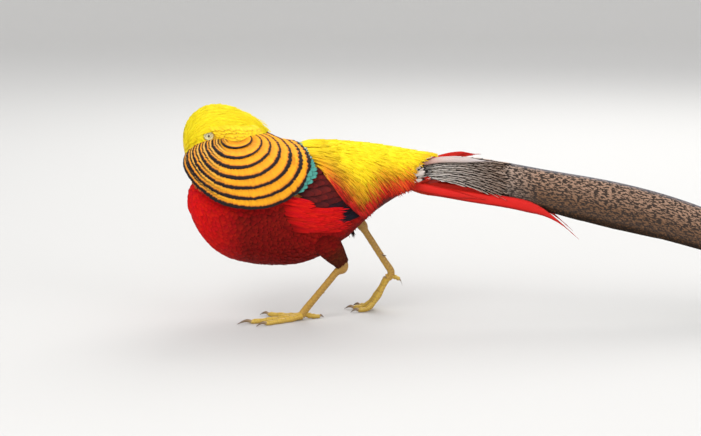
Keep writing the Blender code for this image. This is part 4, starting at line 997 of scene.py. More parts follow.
def layMantle():
    sizes = mantleLaying
    draw = random.Random(sizes["seed"])
    coat = []
    for order, before in enumerate(sizes["tiers"]):
        for angle in stepped(-sizes["reach"] + 2.7 * (order % 2), sizes["reach"], sizes["step"]):
            a = angle + draw.uniform(-1, 1)
            tip = smoothRow(sizes["edge"], abs(a))[0] - before
            lift = 0.0006 * (3 - order)
            # A mark of 1 gives the painted highlight along the shaft
            layFeather(coat, trunkPoint, (tip - sizes["length"], a), (sizes["length"], math.copysign(1.0, a)),
                       (0.003, 0.0058 + lift, 0.0064 + lift), sizes["width"] * draw.uniform(0.9, 1.1), draw.random(),
                       1.0 if order > 1 and abs(a) < 42 and draw.random() < 0.45 else 0.4 * draw.random(),
                       (0.5 + a / 250, 0.2 + 0.2 * order))
    material = featherMaterial("mantleFeathers", mantleColours, 0.5, 0.15, 22, 6, 0.12, 0.35)
    material.node_tree.nodes["Principled BSDF"].inputs["Metallic"].default_value = 0.2
    makeCoat("mantleCoat", coat, roundVane, material, "wing_plumage", unevenness=0.02)


# Folded wings: maroon coverts and dark quills under them
wingLaying = {
    "tiers": (  # first root, last root, angle, run back, run down in degrees, lift, width, kind
        (-0.07, -0.02, 50, 0.015, 3, 0.003, 0.008, 0.0), (-0.066, -0.014, 57, 0.016, 4, 0.003, 0.008, 0.0),
        (-0.062, -0.008, 64, 0.017, 4, 0.0029, 0.0085, 0.0), (-0.058, -0.004, 71, 0.018, 5, 0.0028, 0.0085, 0.1),
        (-0.054, 0.0, 78, 0.019, 5, 0.0027, 0.0085, 0.1), (-0.05, 0.004, 85, 0.02, 5, 0.0025, 0.008, 0.3),
        (-0.044, 0.006, 92, 0.022, 5, 0.0023, 0.0075, 0.8), (-0.036, 0.006, 98, 0.026, 6, 0.0021, 0.007, 1.0),
        (-0.026, 0.004, 104, 0.028, 6, 0.0018, 0.0065, 1.0), (-0.03, -0.002, 107, 0.025, 4, 0.0034, 0.0044, 1.0),
        (-0.032, -0.004, 110, 0.029, 2, 0.0034, 0.004, 1.0), (-0.034, -0.008, 113, 0.027, 2, 0.0032, 0.0038, 1.0),
    ),
    "step": 0.0062, "seed": 37,
}


def wingColours(tree):
    body = alongMark(tree, [(0.0, 0.02, 0.002, 0.002), (0.6, 0.1, 0.005, 0.004), (1.0, 0.17, 0.008, 0.006)],
                     [(0.0, 0.004, 0.003, 0.006), (0.6, 0.007, 0.006, 0.016), (1.0, 0.004, 0.003, 0.006)])
    return mixColours(tree, maths(tree, "MULTIPLY", rimAbove(tree, 0.05, 0.95), 0.55), body, (0.02, 0.002, 0.003))


def layWings():
    sizes = wingLaying
    material = featherMaterial("wingFeathers", wingColours, 0.55, 0.5, 20, 6, 0.25, 0.12)
    for side, name in bothSides:
        draw = random.Random(sizes["seed"])
        coat = []
        for order, (first, last, angle, back, down, lift, width, kind) in enumerate(sizes["tiers"]):
            for x in stepped(first + 0.003 * (order % 2), last, sizes["step"]):
                layFeather(coat, drapeOn(side), (x + draw.uniform(-0.001, 0.001), angle + draw.uniform(-1, 1)),
                           (back, down), (0.0006, lift * 0.8, lift), width * draw.uniform(0.9, 1.1), draw.random(),
                           kind, (0.5 + x * 5, 0.08 + 0.1 * order))
        makeCoat("wing" + name.capitalize(), coat, leafVane, material, "wing_plumage", "wing_" + name, seed=5 + side)


# Scarlet sweep that covers the wing's lower edge
sweepLaying = {
    "rows": 12, "perRow": 24, "firstX": -0.074, "lastX": -0.041, "length": 0.026, "width": 0.003, "seed": 41,
}


def laySweep():
    sizes = sweepLaying
    coat = []
    for side in (-1, 1):
        draw = random.Random(sizes["seed"])
        for (row, low), (k, t) in itertools.product(spaced(sizes["rows"]), spaced(sizes["perRow"])):
            x = (sizes["firstX"] + 0.016 * low * low + (sizes["lastX"] - sizes["firstX"]) * t * (1.28 - 0.28 * low)
                 + draw.uniform(-0.005, 0.005))
            angle = 84 + 2.1 * row + 8 * t + draw.uniform(-1.5, 1.5) - 10 * clamp((-0.054 - x) / 0.016) * (1 - low)
            flow = (sizes["length"] * draw.uniform(0.8, 1.1), 6 + draw.uniform(-2, 3))
            layFeather(coat, drapeOn(side), (x, angle), flow,
                       (0.0008, 0.0034 - 0.0012 * low, 0.0038 - 0.0014 * low + draw.uniform(-0.0003, 0.0004)),
                       sizes["width"] * draw.uniform(0.8, 1.2), draw.random(),
                       min(1.0, 0.1 * t + (0.1 + 0.3 * low) * draw.random() + 0.45 * max(0.0, low - 0.35)),
                       (0.5 + 0.45 * side * t, 0.1 + 0.06 * row))
    makeCoat("flankSweep", coat, leafVane, bpy.data.materials["breastFeathers"], "red_plumage", seed=9)


# Golden plumes over the back, tipped orange and red along their lower edge
rumpLaying = {
    "edge": ((-0.07, 0.1778), (-0.06, 0.1768), (-0.05, 0.1738), (-0.037, 0.167), (-0.022, 0.1515), (-0.003, 0.1325),
             (0.01, 0.1195), (0.017, 0.117), (0.027, 0.128), (0.036, 0.139), (0.056, 0.144), (0.069, 0.152),
             (0.085, 0.158), (0.11, 0.16)),
    "firstX": -0.066, "lastX": 0.078, "ends": (0.0925, 0.026), "rowStep": 0.0017, "aroundStep": 2.2, "length": 0.03,
    "width": 0.0022, "seed": 43,
}


def plumeEdge(x):
    edge = rumpLaying["edge"]
    for (x0, z0), (x1, z1) in zip(edge, edge[1:]):
        if x0 <= x <= x1:
            return z0 + (z1 - z0) * (x - x0) / (x1 - x0)
    return edge[0][1] if x < edge[0][0] else edge[-1][1]


def rumpColours(tree):
    along, mark = read(tree, "along"), read(tree, "mark")
    gold = ramp(tree, along, [(0.0, 0.92, 0.58, 0.006), (0.5, 1.0, 0.76, 0.008), (1.0, 1.0, 0.8, 0.01)])
    tip = ramp(tree, along, [(0.0, 0.9, 0.5, 0.01), (0.3, 0.88, 0.34, 0.01), (0.5, 0.74, 0.08, 0.008),
                             (0.75, 0.55, 0.01, 0.006), (1.0, 0.34, 0.006, 0.005)])
    bright = ramp(tree, along, [(0.0, 0.92, 0.5, 0.01), (0.3, 0.92, 0.3, 0.01), (0.5, 0.86, 0.09, 0.01),
                                (1.0, 0.68, 0.02, 0.008)])
    place = addNode(tree, "ShaderNodeSeparateXYZ", {0: objectPlace(tree)})
    tip = mixColours(tree, climb(tree, place.outputs["X"], shift.x + 0.015, 0.035), tip, bright)
    body = mixColours(tree, maths(tree, "POWER", mark, 1.1), gold, tip)
    # Painted shade: towards the red tips each strand's edges are darkened, the dark lines between the strands
    edge = maths(tree, "GREATER_THAN", maths(tree, "ABSOLUTE", read(tree, "across")), 0.68)
    deep = maths(tree, "MINIMUM", maths(tree, "MAXIMUM", maths(tree, "SUBTRACT", mark, 0.1), 0.0), 0.85)
    return mixColours(tree, maths(tree, "MULTIPLY", edge, deep), body, (0.16, 0.012, 0.004))


def layRump():
    sizes = rumpLaying
    coat = []
    rows = round((sizes["lastX"] - sizes["firstX"]) / sizes["rowStep"])
    for side in (-1, 1):
        draw = random.Random(sizes["seed"])
        for i in range(rows):
            x = sizes["firstX"] + sizes["rowStep"] * i
            for angle in stepped(0.0 if side < 0 else 1.3, 111.999, sizes["aroundStep"] * (1.0 if x < 0.05 else 1.5)):
                a, place = max(0.0, angle + draw.uniform(-2, 2)), x + draw.uniform(-0.002, 0.002)
                slope = math.radians(8 * min(a / 8, 1.0) + 50 * min(a / 55, 1.0) - 14 * clamp((x - 0.03) / 0.05))
                length = sizes["length"] * draw.uniform(0.8, 1.15)
                run = length * math.cos(slope)
                fall = math.degrees(length * math.sin(slope) / max(trunkRadius(place), 0.02))
                if drapePoint(place, a).z < plumeEdge(place) + 0.004:
                    continue
                share = 1.0
                end = sizes["ends"][0] - sizes["ends"][1] * min(a / 38, 1.0) + draw.uniform(-0.003, 0.002)
                while share > 0.3:  # shortened until its tip stays inside the edge
                    tip = drapePoint(place + run * share, a + fall * share, 0.006)
                    if tip.z >= plumeEdge(tip.x) - draw.uniform(0, 0.002) and tip.x < end:
                        break
                    share -= 0.05
                if share <= 0.3:
                    continue
                fringe = 0.04 - 0.02 * clamp((tip.x - 0.03) / 0.03)
                near = (tip.z - plumeEdge(tip.x) + draw.uniform(-0.003, 0.003)) / fringe
                mark = clamp(1.1 - near) * min(max((tip.x + 0.04) / 0.025, 0.15), 1.0)
                raised = 0.007 + 0.0006 * draw.random() + 0.0014 * clamp((-0.04 - place) / 0.02)
                layFeather(coat, drapeOn(side), (place, a), (run * share, fall * share),
                           (0.0008, raised * 0.82, raised), sizes["width"] * draw.uniform(0.8, 1.25),
                           draw.random(), mark,
                           (0.5 + side * a / 250, 0.05 + 0.9 * i / rows))
    makeCoat("rumpPlumes", coat, silkVane, featherMaterial("goldPlumes", rumpColours, 0.55, 0.08, 6, 2, 0.03),
             "golden_plumage")


# Long feathers, each a closed blade with its own strip in the bake map. A blade is its rows of points, thickness,
# tint, mark, and the metres along and across at each row
def bladeMesh(name, blades, material, slot, *nodes):
    verts, faces, uv = [], [], []
    along, across, tint, mark, vein = carried = [[] for label in range(5)]
    for order, (rows, thickness, shade, kind, lengths, widths) in enumerate(blades):
        bladeVerts, bladeFaces, twin = sealedGrid(rows, thickness)
        base, columns = len(verts), len(rows[0])
        verts += toWorld(bladeVerts)
        faces += [[base + k for k in face] for face in bladeFaces]
        for i, j in [(i, j) for i in range(len(rows)) for j in range(columns)] + list(twin):
            share = 2 * j / (columns - 1) - 1
            along.append(i / (len(rows) - 1))
            across.append(share)
            tint.append(shade)
            mark.append(kind)
            vein.append((lengths[i], widths[i] * share, order * 0.37))
            uv.append((0.01 + 0.98 * i / (len(rows) - 1), (order + 0.5 + 0.42 * share) / len(blades)))
    mesh = meshFrom(name, verts, faces)
    for label, values in zip(("along", "across", "tint", "mark", "vein"), carried):
        setValues(mesh, label, values)
    smoothFaces(mesh)
    bakeMap(mesh, np.array(uv))
    report(f"{name}, {len(blades)} blades")
    keepPiece(name, mesh, material, slot, *nodes)


tailLaying = {
    "tips": (0.522, 0.47, 0.425, 0.385, 0.345, 0.31, 0.275, 0.245, 0.215, 0.19, 0.165),
    "firstX": 0.082, "rowLength": 0.007, "layer": 0.0011, "skin": 0.0005,
}


def tailBlade(tip, reach, sink, side, order, columns=9):
    first = tailLaying["firstX"]
    count = max(8, round((tip - first) / tailLaying["rowLength"]))
    rows, lengths, widths = [], [], []
    for i in range(count + 1):
        x = first + (tip - first) * i / count
        left = min(1.0, max(0.0, tip - x) / (0.15 if side == 0 else 0.1))
        narrow = max(left ** 0.55, 0.02)
        depth = sink * min(1.0, 0.3 + (x - first) / 0.03)
        halfWidth, drop = smoothRow(tailSizes["rows"], x)[1:]
        low, high = -reach * narrow, reach * narrow
        if side != 0:
            outer = max(1.0 - depth / drop + 0.01 * order, 0.4)
            inner = max(outer - 0.8, 0.06)
            middle = outer * 0.55 + inner * 0.45
            low, high = middle - (middle - inner) * narrow, middle + (outer - middle) * narrow
        shares = [low + (high - low) * j / (columns - 1) for j in range(columns)]
        row = [tailPoint(x, share * (side or 1), depth + 0.0004 * math.sin(9 * j + 40 * x))
               for j, share in enumerate(shares)]
        rows.append(row[::-1] if side == 1 else row)
        lengths.append(x)
        widths.append(math.hypot(halfWidth, drop) * (high - low) / 2)
    return rows, -tailLaying["skin"], random.Random(order * 3 + side).random(), min(1.0, order / 6), lengths, widths


def tailMaterial():  # pale blotches in a net that runs along each feather
    material, tree, shader = plainMaterial("tailFeathers", 0.55, 0.2)
    vein = addNode(tree, "ShaderNodeAttribute", attribute_name="vein").outputs["Vector"]
    split = addNode(tree, "ShaderNodeSeparateXYZ", {0: vein})
    warp = addNode(tree, "ShaderNodeTexNoise", {"Scale": 90.0, "Vector": vein})
    pushed = addNode(tree, "ShaderNodeVectorMath", {0: warp.outputs["Color"], 1: (0.0035, 0.0035, 0.0), 2: vein},
                     operation="MULTIPLY_ADD").outputs[0]
    cells, dashes = (
        addNode(tree, "ShaderNodeMapping", {"Scale": scale, "Rotation": (0, 0, turn), "Vector": pushed}).outputs[0]
        for scale, turn in (((300.0, 420.0, 40.0), 0.5), ((210.0, 560.0, 60.0), 0.0)))
    cells = addNode(tree, "ShaderNodeTexVoronoi", {"Scale": 1.0, "Vector": cells}, feature="DISTANCE_TO_EDGE")
    dashes = addNode(tree, "ShaderNodeTexNoise", {"Scale": 1.0, "Detail": 1.0, "Roughness": 0.6, "Vector": dashes})
    away = maths(tree, "ABSOLUTE", read(tree, "across"))
    mark = read(tree, "mark")
    low = maths(tree, "MAXIMUM", mark, climb(tree, away, 0.7, 0.25))
    net = climb(tree, cells.outputs["Distance"], maths(tree, "MULTIPLY_ADD", low, 0.06, 0.03), 0.08)
    dash = climb(tree, dashes.outputs["Fac"], 0.488, 0.04)
    both = maths(tree, "MULTIPLY", net, maths(tree, "MULTIPLY_ADD", dash, 0.5, 0.5))
    spot = mixColours(tree, maths(tree, "MULTIPLY_ADD", low, 0.6, 0.15), dash, both)
    warm = ramp(tree, away, [(0.0, 0.4, 0.25, 0.175), (0.35, 0.34, 0.2, 0.13), (0.65, 0.16, 0.078, 0.038),
                             (1.0, 0.09, 0.04, 0.016)])
    warm = mixColours(tree, mark, warm, (0.1, 0.048, 0.022))
    # Painted sheen: towards the root the vanes turn pale grey, where the sky shines on the glossy ridge
    rootSheen = maths(tree, "SUBTRACT", 1.0, climb(tree, split.outputs["X"], 0.1, 0.1))
    shade = mixColours(tree, spot, (0.022, 0.013, 0.009), mixColours(tree, rootSheen, warm, (0.46, 0.42, 0.38)))
    # Each shaft is painted grey-blue: the shaft with a painted reflection of the sky along it
    shaftReflection = maths(tree, "MINIMUM", maths(tree, "MULTIPLY", away, 12.0), 1.0)
    barbFinish(tree, shader, mixColours(tree, shaftReflection, (0.13, 0.13, 0.15), shade), 0.08, 150.0, 9.0, 0.22,
               (0.3, 0.0003))
    return material


def makeTail():
    tip, layer = tailSizes["tip"], tailLaying["layer"]
    blades = [tailBlade(tip, 1.0, 0.0, 0, 0, 13), tailBlade(tip - 0.03, 0.96, layer, 0, 1, 13)]
    for side, (order, tip) in itertools.product((-1, 1), enumerate(tailLaying["tips"])):
        blades.append(tailBlade(tip, 1.0, layer * (order + 2), side, order + 1))
    bladeMesh("tailFeathers", blades, tailMaterial(), "tail_plumage", "tail")


# Scarlet plumes beside the tail, and on the near side a pale blade that is a painted highlight along the tail's ridge
plumeSizes = {
    "long": ((0.052, 0.01, 0.149, 0.004), (0.075, 0.0165, 0.1435, 0.0066), (0.095, 0.0205, 0.14, 0.0056),
             (0.127, 0.024, 0.135, 0.0058), (0.165, 0.0262, 0.1297, 0.0062), (0.19, 0.027, 0.1244, 0.0064),
             (0.206, 0.0272, 0.1182, 0.0056), (0.224, 0.0268, 0.1062, 0.003), (0.243, 0.0262, 0.0895, 0.0003)),
    "short": ((0.044, 0.013, 0.151, 0.004), (0.07, 0.0195, 0.1455, 0.005), (0.09, 0.0232, 0.1415, 0.0048),
              (0.112, 0.0252, 0.1375, 0.004), (0.144, 0.0268, 0.1325, 0.0003)),
    "high": ((0.07, 0.006, 0.164, 0.003), (0.088, 0.0135, 0.1685, 0.004), (0.104, 0.0175, 0.1722, 0.0042),
             (0.12, 0.0188, 0.1745, 0.0036), (0.141, 0.0196, 0.175, 0.0003)),
    # The pale blade is a painted highlight: a whitish-pink strip along the tail's ridge where the sky shines on it
    "pale": ((0.066, 0.006, 0.164, 0.002), (0.088, 0.009, 0.1712, 0.003), (0.104, 0.0105, 0.1728, 0.0032),
             (0.122, 0.0112, 0.1726, 0.003), (0.152, 0.012, 0.1712, 0.0003)),
    "copies": ((0.0, 1.0), (-0.0012, 0.88), (0.0014, 0.76)), "rows": 26, "columns": 5, "thickness": 0.0005,
}


def makePlumes():
    sizes = plumeSizes
    blades = []
    for side, kind in ((-1, "long"), (-1, "short"), (-1, "pale"), (1, "long"), (1, "short"), (1, "high")):
        for order, (down, share) in enumerate(sizes["copies"]):
            places = sizes[kind]
            first = places[0][0]
            last = first + (places[-1][0] - first) * share
            rows, lengths, widths = [], [], []
            for i, t in spaced(sizes["rows"]):
                x = first + (last - first) * i / (sizes["rows"] - 1)
                out, height, half = smoothRow(places, x)
                half = max(half * min(1.0, (1 - t) * 3.5) * (0.85 if order else 1.0), 0.0002)
                row = [Vector((x, side * (out - 0.0007 * order - 0.0011 * s * s), height + down * t - s * half))
                       for s in (2 * j / (sizes["columns"] - 1) - 1 for j in range(sizes["columns"]))]
                rows.append(row if side < 0 else row[::-1])
                lengths.append(x)
                widths.append(half)
            blades.append((rows, -sizes["thickness"], 0.3 + 0.2 * order, float(kind == "pale"), lengths, widths))
    # The second list is the pale blade's whitish-pink painted highlight
    colours = ([(0.0, 0.7, 0.1, 0.006), (0.2, 0.76, 0.02, 0.005), (0.6, 0.74, 0.012, 0.006), (1.0, 0.66, 0.02, 0.01)],
               [(0.0, 0.8, 0.3, 0.2), (0.4, 0.75, 0.6, 0.55), (0.8, 0.7, 0.62, 0.6), (1.0, 0.6, 0.48, 0.46)])
    bladeMesh("scarletPlumes", blades, featherMaterial("scarletPlumes", colours, 0.5, 0.3, 60, 9, 0.25),
              "red_plumage")


# Spotted coverts over the root of the tail
covertLaying = {
    "rows": 19, "firstX": 0.064, "lastX": 0.152, "across": 0.112, "length": 0.018, "width": 0.0074, "seed": 47,
    # The rest is over the gap before the tail
    "bases": 9, "perBase": 19, "baseStart": 0.048, "baseStep": 0.0032, "baseLength": 0.0115,
}


def tailRoot(x, across, lift):  # the tail's surface, carried on straight ahead of its first row
    first = tailSizes["first"]
    return tailPoint(max(x, first), across, -lift) + Vector((min(0.0, x - first), 0, 0))


def tailBase(x, angle, lift):  # from the body's own surface over to the tail's
    share = clamp((x - 0.06) / 0.022)
    far = tailRoot(x, max(-0.97, min(0.97, angle / 112)), lift + 0.0012)
    return trunkPoint(x, angle, lift).lerp(far, share * share * (3 - 2 * share))


def covertColours(tree):
    away = maths(tree, "ABSOLUTE", read(tree, "across"))
    edge = maths(tree, "MULTIPLY_ADD", maths(tree, "POWER", away, 2.0), 0.1, read(tree, "along"))
    bar = ramp(tree, edge, [(0.0, 0, 0, 0), (0.9, 0, 0, 0), (0.93, 1, 1, 1)])
    # Painted sheen: the front rows are grey-white where the sky shines on them; the back rows are the coverts' own
    # buff-brown
    pale = mixColours(tree, read(tree, "mark"), (0.92, 0.89, 0.84), (0.44, 0.3, 0.22))
    return mixColours(tree, bar, pale, (0.02, 0.016, 0.016))


def layCoverts():
    sizes = covertLaying
    draw = random.Random(sizes["seed"])
    coat = []
    for i, t in spaced(sizes["rows"]):
        x = between(sizes["firstX"], sizes["lastX"], t)
        for across in stepped(-0.98 + 0.07 * (i % 2), 0.98, sizes["across"] * (1.6 if t < 0.3 else 1.25)):
            length = sizes["length"] * draw.uniform(0.85, 1.15)
            layFeather(coat, tailRoot, (x + draw.uniform(-0.001, 0.001), across + draw.uniform(-0.02, 0.02)),
                       (length, 0.1 * across), (0.0001, 0.0014 - 0.0008 * t, 0.0016 - 0.001 * t),
                       sizes["width"] * draw.uniform(0.85, 1.15), draw.random(), t,
                       (0.5 + across / 2.2, 0.05 + 0.9 * t))
    for i, k, side in itertools.product(range(sizes["bases"]), range(sizes["perBase"]), (-1, 1)):
        a = side * (30 + 4.0 * (k + 0.5 * (i % 2)) + draw.uniform(-1.2, 1.2))
        x = sizes["baseStart"] + sizes["baseStep"] * i + draw.uniform(-0.0014, 0.0014)
        layFeather(coat, tailBase, (x, a), (sizes["baseLength"], 0.0), (0.0003, 0.0014, 0.0014),
                   sizes["width"] * draw.uniform(0.42, 0.58), draw.random(), 0.45, (0.5 + a / 400, 0.01 + 0.005 * i))
    material = featherMaterial("tailCoverts", covertColours, 0.65, 0.15, 14, 4, 0.08, 0.12)
    makeCoat("tailCoverts", coat, roundVane, material, "tail_plumage")


# Dark red feathers under the tail's root
ventLaying = {
    "firstX": 0.004, "lastX": 0.084, "rows": 26, "step": 7.0, "length": 0.017, "width": 0.0062, "seed": 53,
    "fromAngle": (80.0, 113.0),  # under the rump and under the tail's root
}


def layVent():
    sizes = ventLaying
    draw = random.Random(sizes["seed"])
    coat = []
    for (i, t), side in itertools.product(spaced(sizes["rows"]), (1, -1)):
        x = between(sizes["firstX"], sizes["lastX"], t)
        first = sizes["fromAngle"][x >= 0.046] + 3.5 * (i % 2)
        for angle in stepped(first, 180, sizes["step"] * (1 + 0.8 * t)):
            a = angle + draw.uniform(-2, 2)
            length = sizes["length"] * draw.uniform(0.8, 1.2)
            if a < 132:
                length = min(length, sizes["lastX"] - x)
                if length < 0.006:
                    continue
            layFeather(coat, trunkPoint, (x + draw.uniform(-0.001, 0.001), side * a), (length, side * 4 * (1 - t)),
                       (0.0, 0.0014, 0.002), sizes["width"] * draw.uniform(0.85, 1.15), draw.random(),
                       clamp(t * 2.2 - 0.5), (0.5 + side * a / 400, 0.05 + 0.9 * t))
    colours = ([(0.0, 0.02, 0.004, 0.003), (0.7, 0.07, 0.008, 0.006), (1.0, 0.1, 0.012, 0.008)],
               [(0.0, 0.16, 0.01, 0.006), (0.7, 0.4, 0.01, 0.006), (1.0, 0.45, 0.02, 0.008)])
    makeCoat("ventCoat", coat, roundVane, featherMaterial("ventFeathers", colours, 0.65, 0.4), "red_plumage")


# Thighs, and the dark fluff that hangs from the far one: its own dark red deepened with painted shade
thighLaying = {"rows": 26, "around": 20, "length": 0.0105, "width": 0.0046, "seed": 59}


def layThighs():
    sizes = thighLaying
    coat = []
    for name in ("left", "right"):
        draw = random.Random(sizes["seed"])
        length = (legSizes["hock"][name] - legSizes["thighRoot"][name]).length
        for i, k in itertools.product(range(sizes["rows"]), range(sizes["around"])):
            t = 0.02 + 0.8 * i / (sizes["rows"] - 1)
            a = 360 * (k + 0.5 * (i % 2)) / sizes["around"] + draw.uniform(-5, 5)
            run = min(sizes["length"] * draw.uniform(0.8, 1.15) / length, 0.985 - t)
            layFeather(coat, lambda s, angle, lift: thighPoint(name, s, angle, lift), (t, a), (run, 0.0),
                       (0.0, 0.0009, 0.0011), sizes["width"] * draw.uniform(0.8, 1.1), draw.random(),
                       clamp((i / sizes["rows"] - 0.3) / 0.4 + draw.uniform(-0.15, 0.15)),
                       (0.02 + 0.45 * (name == "right") + 0.42 * (k / sizes["around"]), 0.05 + 0.9 * t))
    colours = ([(0.0, 0.06, 0.002, 0.001), (0.6, 0.13, 0.003, 0.002), (0.9, 0.2, 0.005, 0.003),
                (1.0, 0.07, 0.002, 0.001)],
               [(0.0, 0.02, 0.003, 0.001), (0.8, 0.062, 0.009, 0.003), (1.0, 0.1, 0.024, 0.005)])
    makeCoat("thighCoat", coat, roundVane, featherMaterial("thighFeathers", colours, 0.8, 0.2, specular=0.08),
             "thigh_plumage")


fluffLaying = {"count": 260, "shares": (0.22, 0.85), "length": (0.013, 0.024), "width": 0.002, "seed": 71}


def layFluff():
    sizes = fluffLaying
    draw = random.Random(sizes["seed"])
    coat = []
    for k in range(sizes["count"]):
        t, angle = draw.uniform(*sizes["shares"]), draw.uniform(0, 360)
        root = thighPoint("right", t, angle, -0.0004)
        out = (root - thighPoint("right", t, angle, -0.005)).normalized()
        if out.z > 0.1:
            continue
        length = draw.uniform(*sizes["length"]) * (1.15 - 0.5 * t)
        aim = Vector((draw.uniform(0.05, 0.45), draw.uniform(-0.25, 0.25), -1.0)).normalized()
        middle, tip = root + aim * length * 0.5 + out * 0.0016, root + aim * length + out * 0.0012
        addFeather(coat, (root, middle, tip), out, sizes["width"] * draw.uniform(0.7, 1.3), draw.random(),
                   draw.uniform(0.2, 1.0), (0.5 + 0.45 * angle / 360, t))
    # Near black: the far thigh's own dark red, deepened with painted shade where it hangs in shadow under the body
    colours = ([(0.0, 0.02, 0.003, 0.002), (1.0, 0.04, 0.006, 0.004)],
               [(0.0, 0.01, 0.004, 0.004), (1.0, 0.016, 0.006, 0.005)])
    material = featherMaterial("fluffFeathers", colours, 0.85, 0.3, 10, 3, 0.1, 0.08)
    makeCoat("fluffCoat", coat, silkVane, material, "thigh_plumage")


# Eyes, each a glossy ball with its pupil and iris, and the lids round them
eyeSizes = {
    "radius": 0.0043, "rings": 40, "around": 56, "lidRing": (0.0045, 0.004), "lidHalf": (0.0009, 0.0007),
    "lidOut": 0.0146, "lidSteps": 72, "lidSides": 12,
}


def eyeMaterial():
    material, tree, shader = plainMaterial("eyeball", 0.12, coat=1.0)
    shader["Coat Roughness"].default_value = 0.02
    iris = ramp(tree, read(tree, "away"), [
        (0.0, 0.002, 0.002, 0.003), (0.15, 0.002, 0.002, 0.003), (0.175, 0.45, 0.32, 0.08), (0.26, 1.0, 1.0, 0.6),
        (0.52, 1.0, 1.0, 0.75), (0.64, 0.9, 0.8, 0.4), (0.7, 0.1, 0.07, 0.04), (1.0, 0.05, 0.03, 0.02)])
    turn = read(tree, "turn")
    rays = maths(tree, "SINE", maths(tree, "MULTIPLY", turn, 47.0))
    wisps = maths(tree, "SINE", maths(tree, "MULTIPLY_ADD", turn, 83.0, 1.3))
    fine = maths(tree, "MULTIPLY_ADD", maths(tree, "ADD", rays, wisps), 0.03, 1.0)
    feed(tree, shader["Base Color"], mixColours(tree, 1.0, iris, fine, "MULTIPLY"))
    return material


def lidMaterial():
    material, tree, shader = plainMaterial("lidSkin", 0.5, 0.35)
    grain = addNode(tree, "ShaderNodeTexVoronoi", {"Scale": 1500.0, "Vector": objectPlace(tree)}).outputs["Distance"]
    feed(tree, shader["Base Color"], mixColours(tree, grain, (1.0, 1.0, 0.66), (1.0, 0.92, 0.46)))
    addBump(tree, shader, grain, 0.5, 0.0002)
    return material


def makeEyes():
    sizes = eyeSizes
    eyeball, lid = eyeMaterial(), lidMaterial()
    for (side, name), centre in zip(bothSides, eyePlaces):
        rows, away, bends = [], [], []
        for i in range(1, sizes["rings"]):
            tilt = math.pi * i / sizes["rings"]
            bulge = 1 + 0.035 * max(0.0, math.cos(min(tilt * 2.2, math.pi / 2)))
            pole = Vector((0, side * math.cos(tilt) * bulge, 0))
            flats = [Vector((math.cos(turn), 0, math.sin(turn))) for turn in turns(sizes["around"])]
            rows.append([centre + (flat * math.sin(tilt) + pole) * sizes["radius"] for flat in flats])
            away += [tilt / (math.pi / 2)] * sizes["around"]
            bends += [math.sin(turn * 3) + turn for turn in turns(sizes["around"])]
        gridPiece("eye" + name.capitalize(), rows, eyeball, "eye", "eye_" + name,
                  floats={"away": away, "turn": bends})
        rows = []
        for turn in turns(sizes["lidSteps"]) + [2 * math.pi]:
            out = Vector((math.cos(turn), 0, math.sin(turn)))
            ring = Vector((out.x * sizes["lidRing"][0], 0, out.z * sizes["lidRing"][1]))
            half = sizes["lidHalf"][0] * (1 + 0.18 * math.sin(turn) ** 2)
            row = []
            for bend in turns(sizes["lidSides"]):
                fold = 0.00006 * math.sin(turn * 40 + bend * 2)
                lean = side * (sizes["lidHalf"][1] + fold) * math.sin(bend)
                proud = side * (sizes["lidOut"] - abs(centre.y)) + lean - side * 0.0003 * math.cos(bend)
                row.append(centre + ring + out * (half + fold) * math.cos(bend) + Vector((0, proud, 0)))
            rows.append(row)
        gridPiece("lids" + name.capitalize(), rows, lid, "face_skin", capEnds=False)
    report("eyes and lids")


# Bill in two horny halves with the mouth line between them
billSizes = {
    "length": 0.0225, "lengths": {"upper": 1.0, "lower": 0.86}, "halfWidth": 0.0052, "upper": 0.0066, "lower": 0.0034,
    "tipWidth": 0.0008, "tipHeight": 0.001, "bend": 0.004, "mouthDrop": 0.0018, "gap": 0.0003,
    "steps": 30, "sides": 22, "nostril": (0.005, 0.0026, 0.0022, 0.0011),  # its place along and up, its reach each way
}


def hornMaterial():
    material, tree, shader = plainMaterial("horn", 0.34, 0.45, 0.25)
    grain = addNode(tree, "ShaderNodeTexNoise", {"Scale": 420.0, "Vector": objectPlace(tree)})
    colour = ramp(tree, read(tree, "along"), [
        (0.0, 0.5, 0.3, 0.08), (0.25, 0.66, 0.44, 0.13), (0.7, 0.72, 0.55, 0.24), (1.0, 0.62, 0.52, 0.32)])
    # Painted shade inside the nostril's opening, dark over its hollow
    colour = mixColours(tree, read(tree, "hollow"), colour, (0.05, 0.03, 0.02))
    feed(tree, shader["Base Color"], mixColours(tree, 0.25, colour, grain.outputs["Color"], "MULTIPLY"))
    addBump(tree, shader, grain.outputs["Fac"], 0.15, 0.0003)
    return material


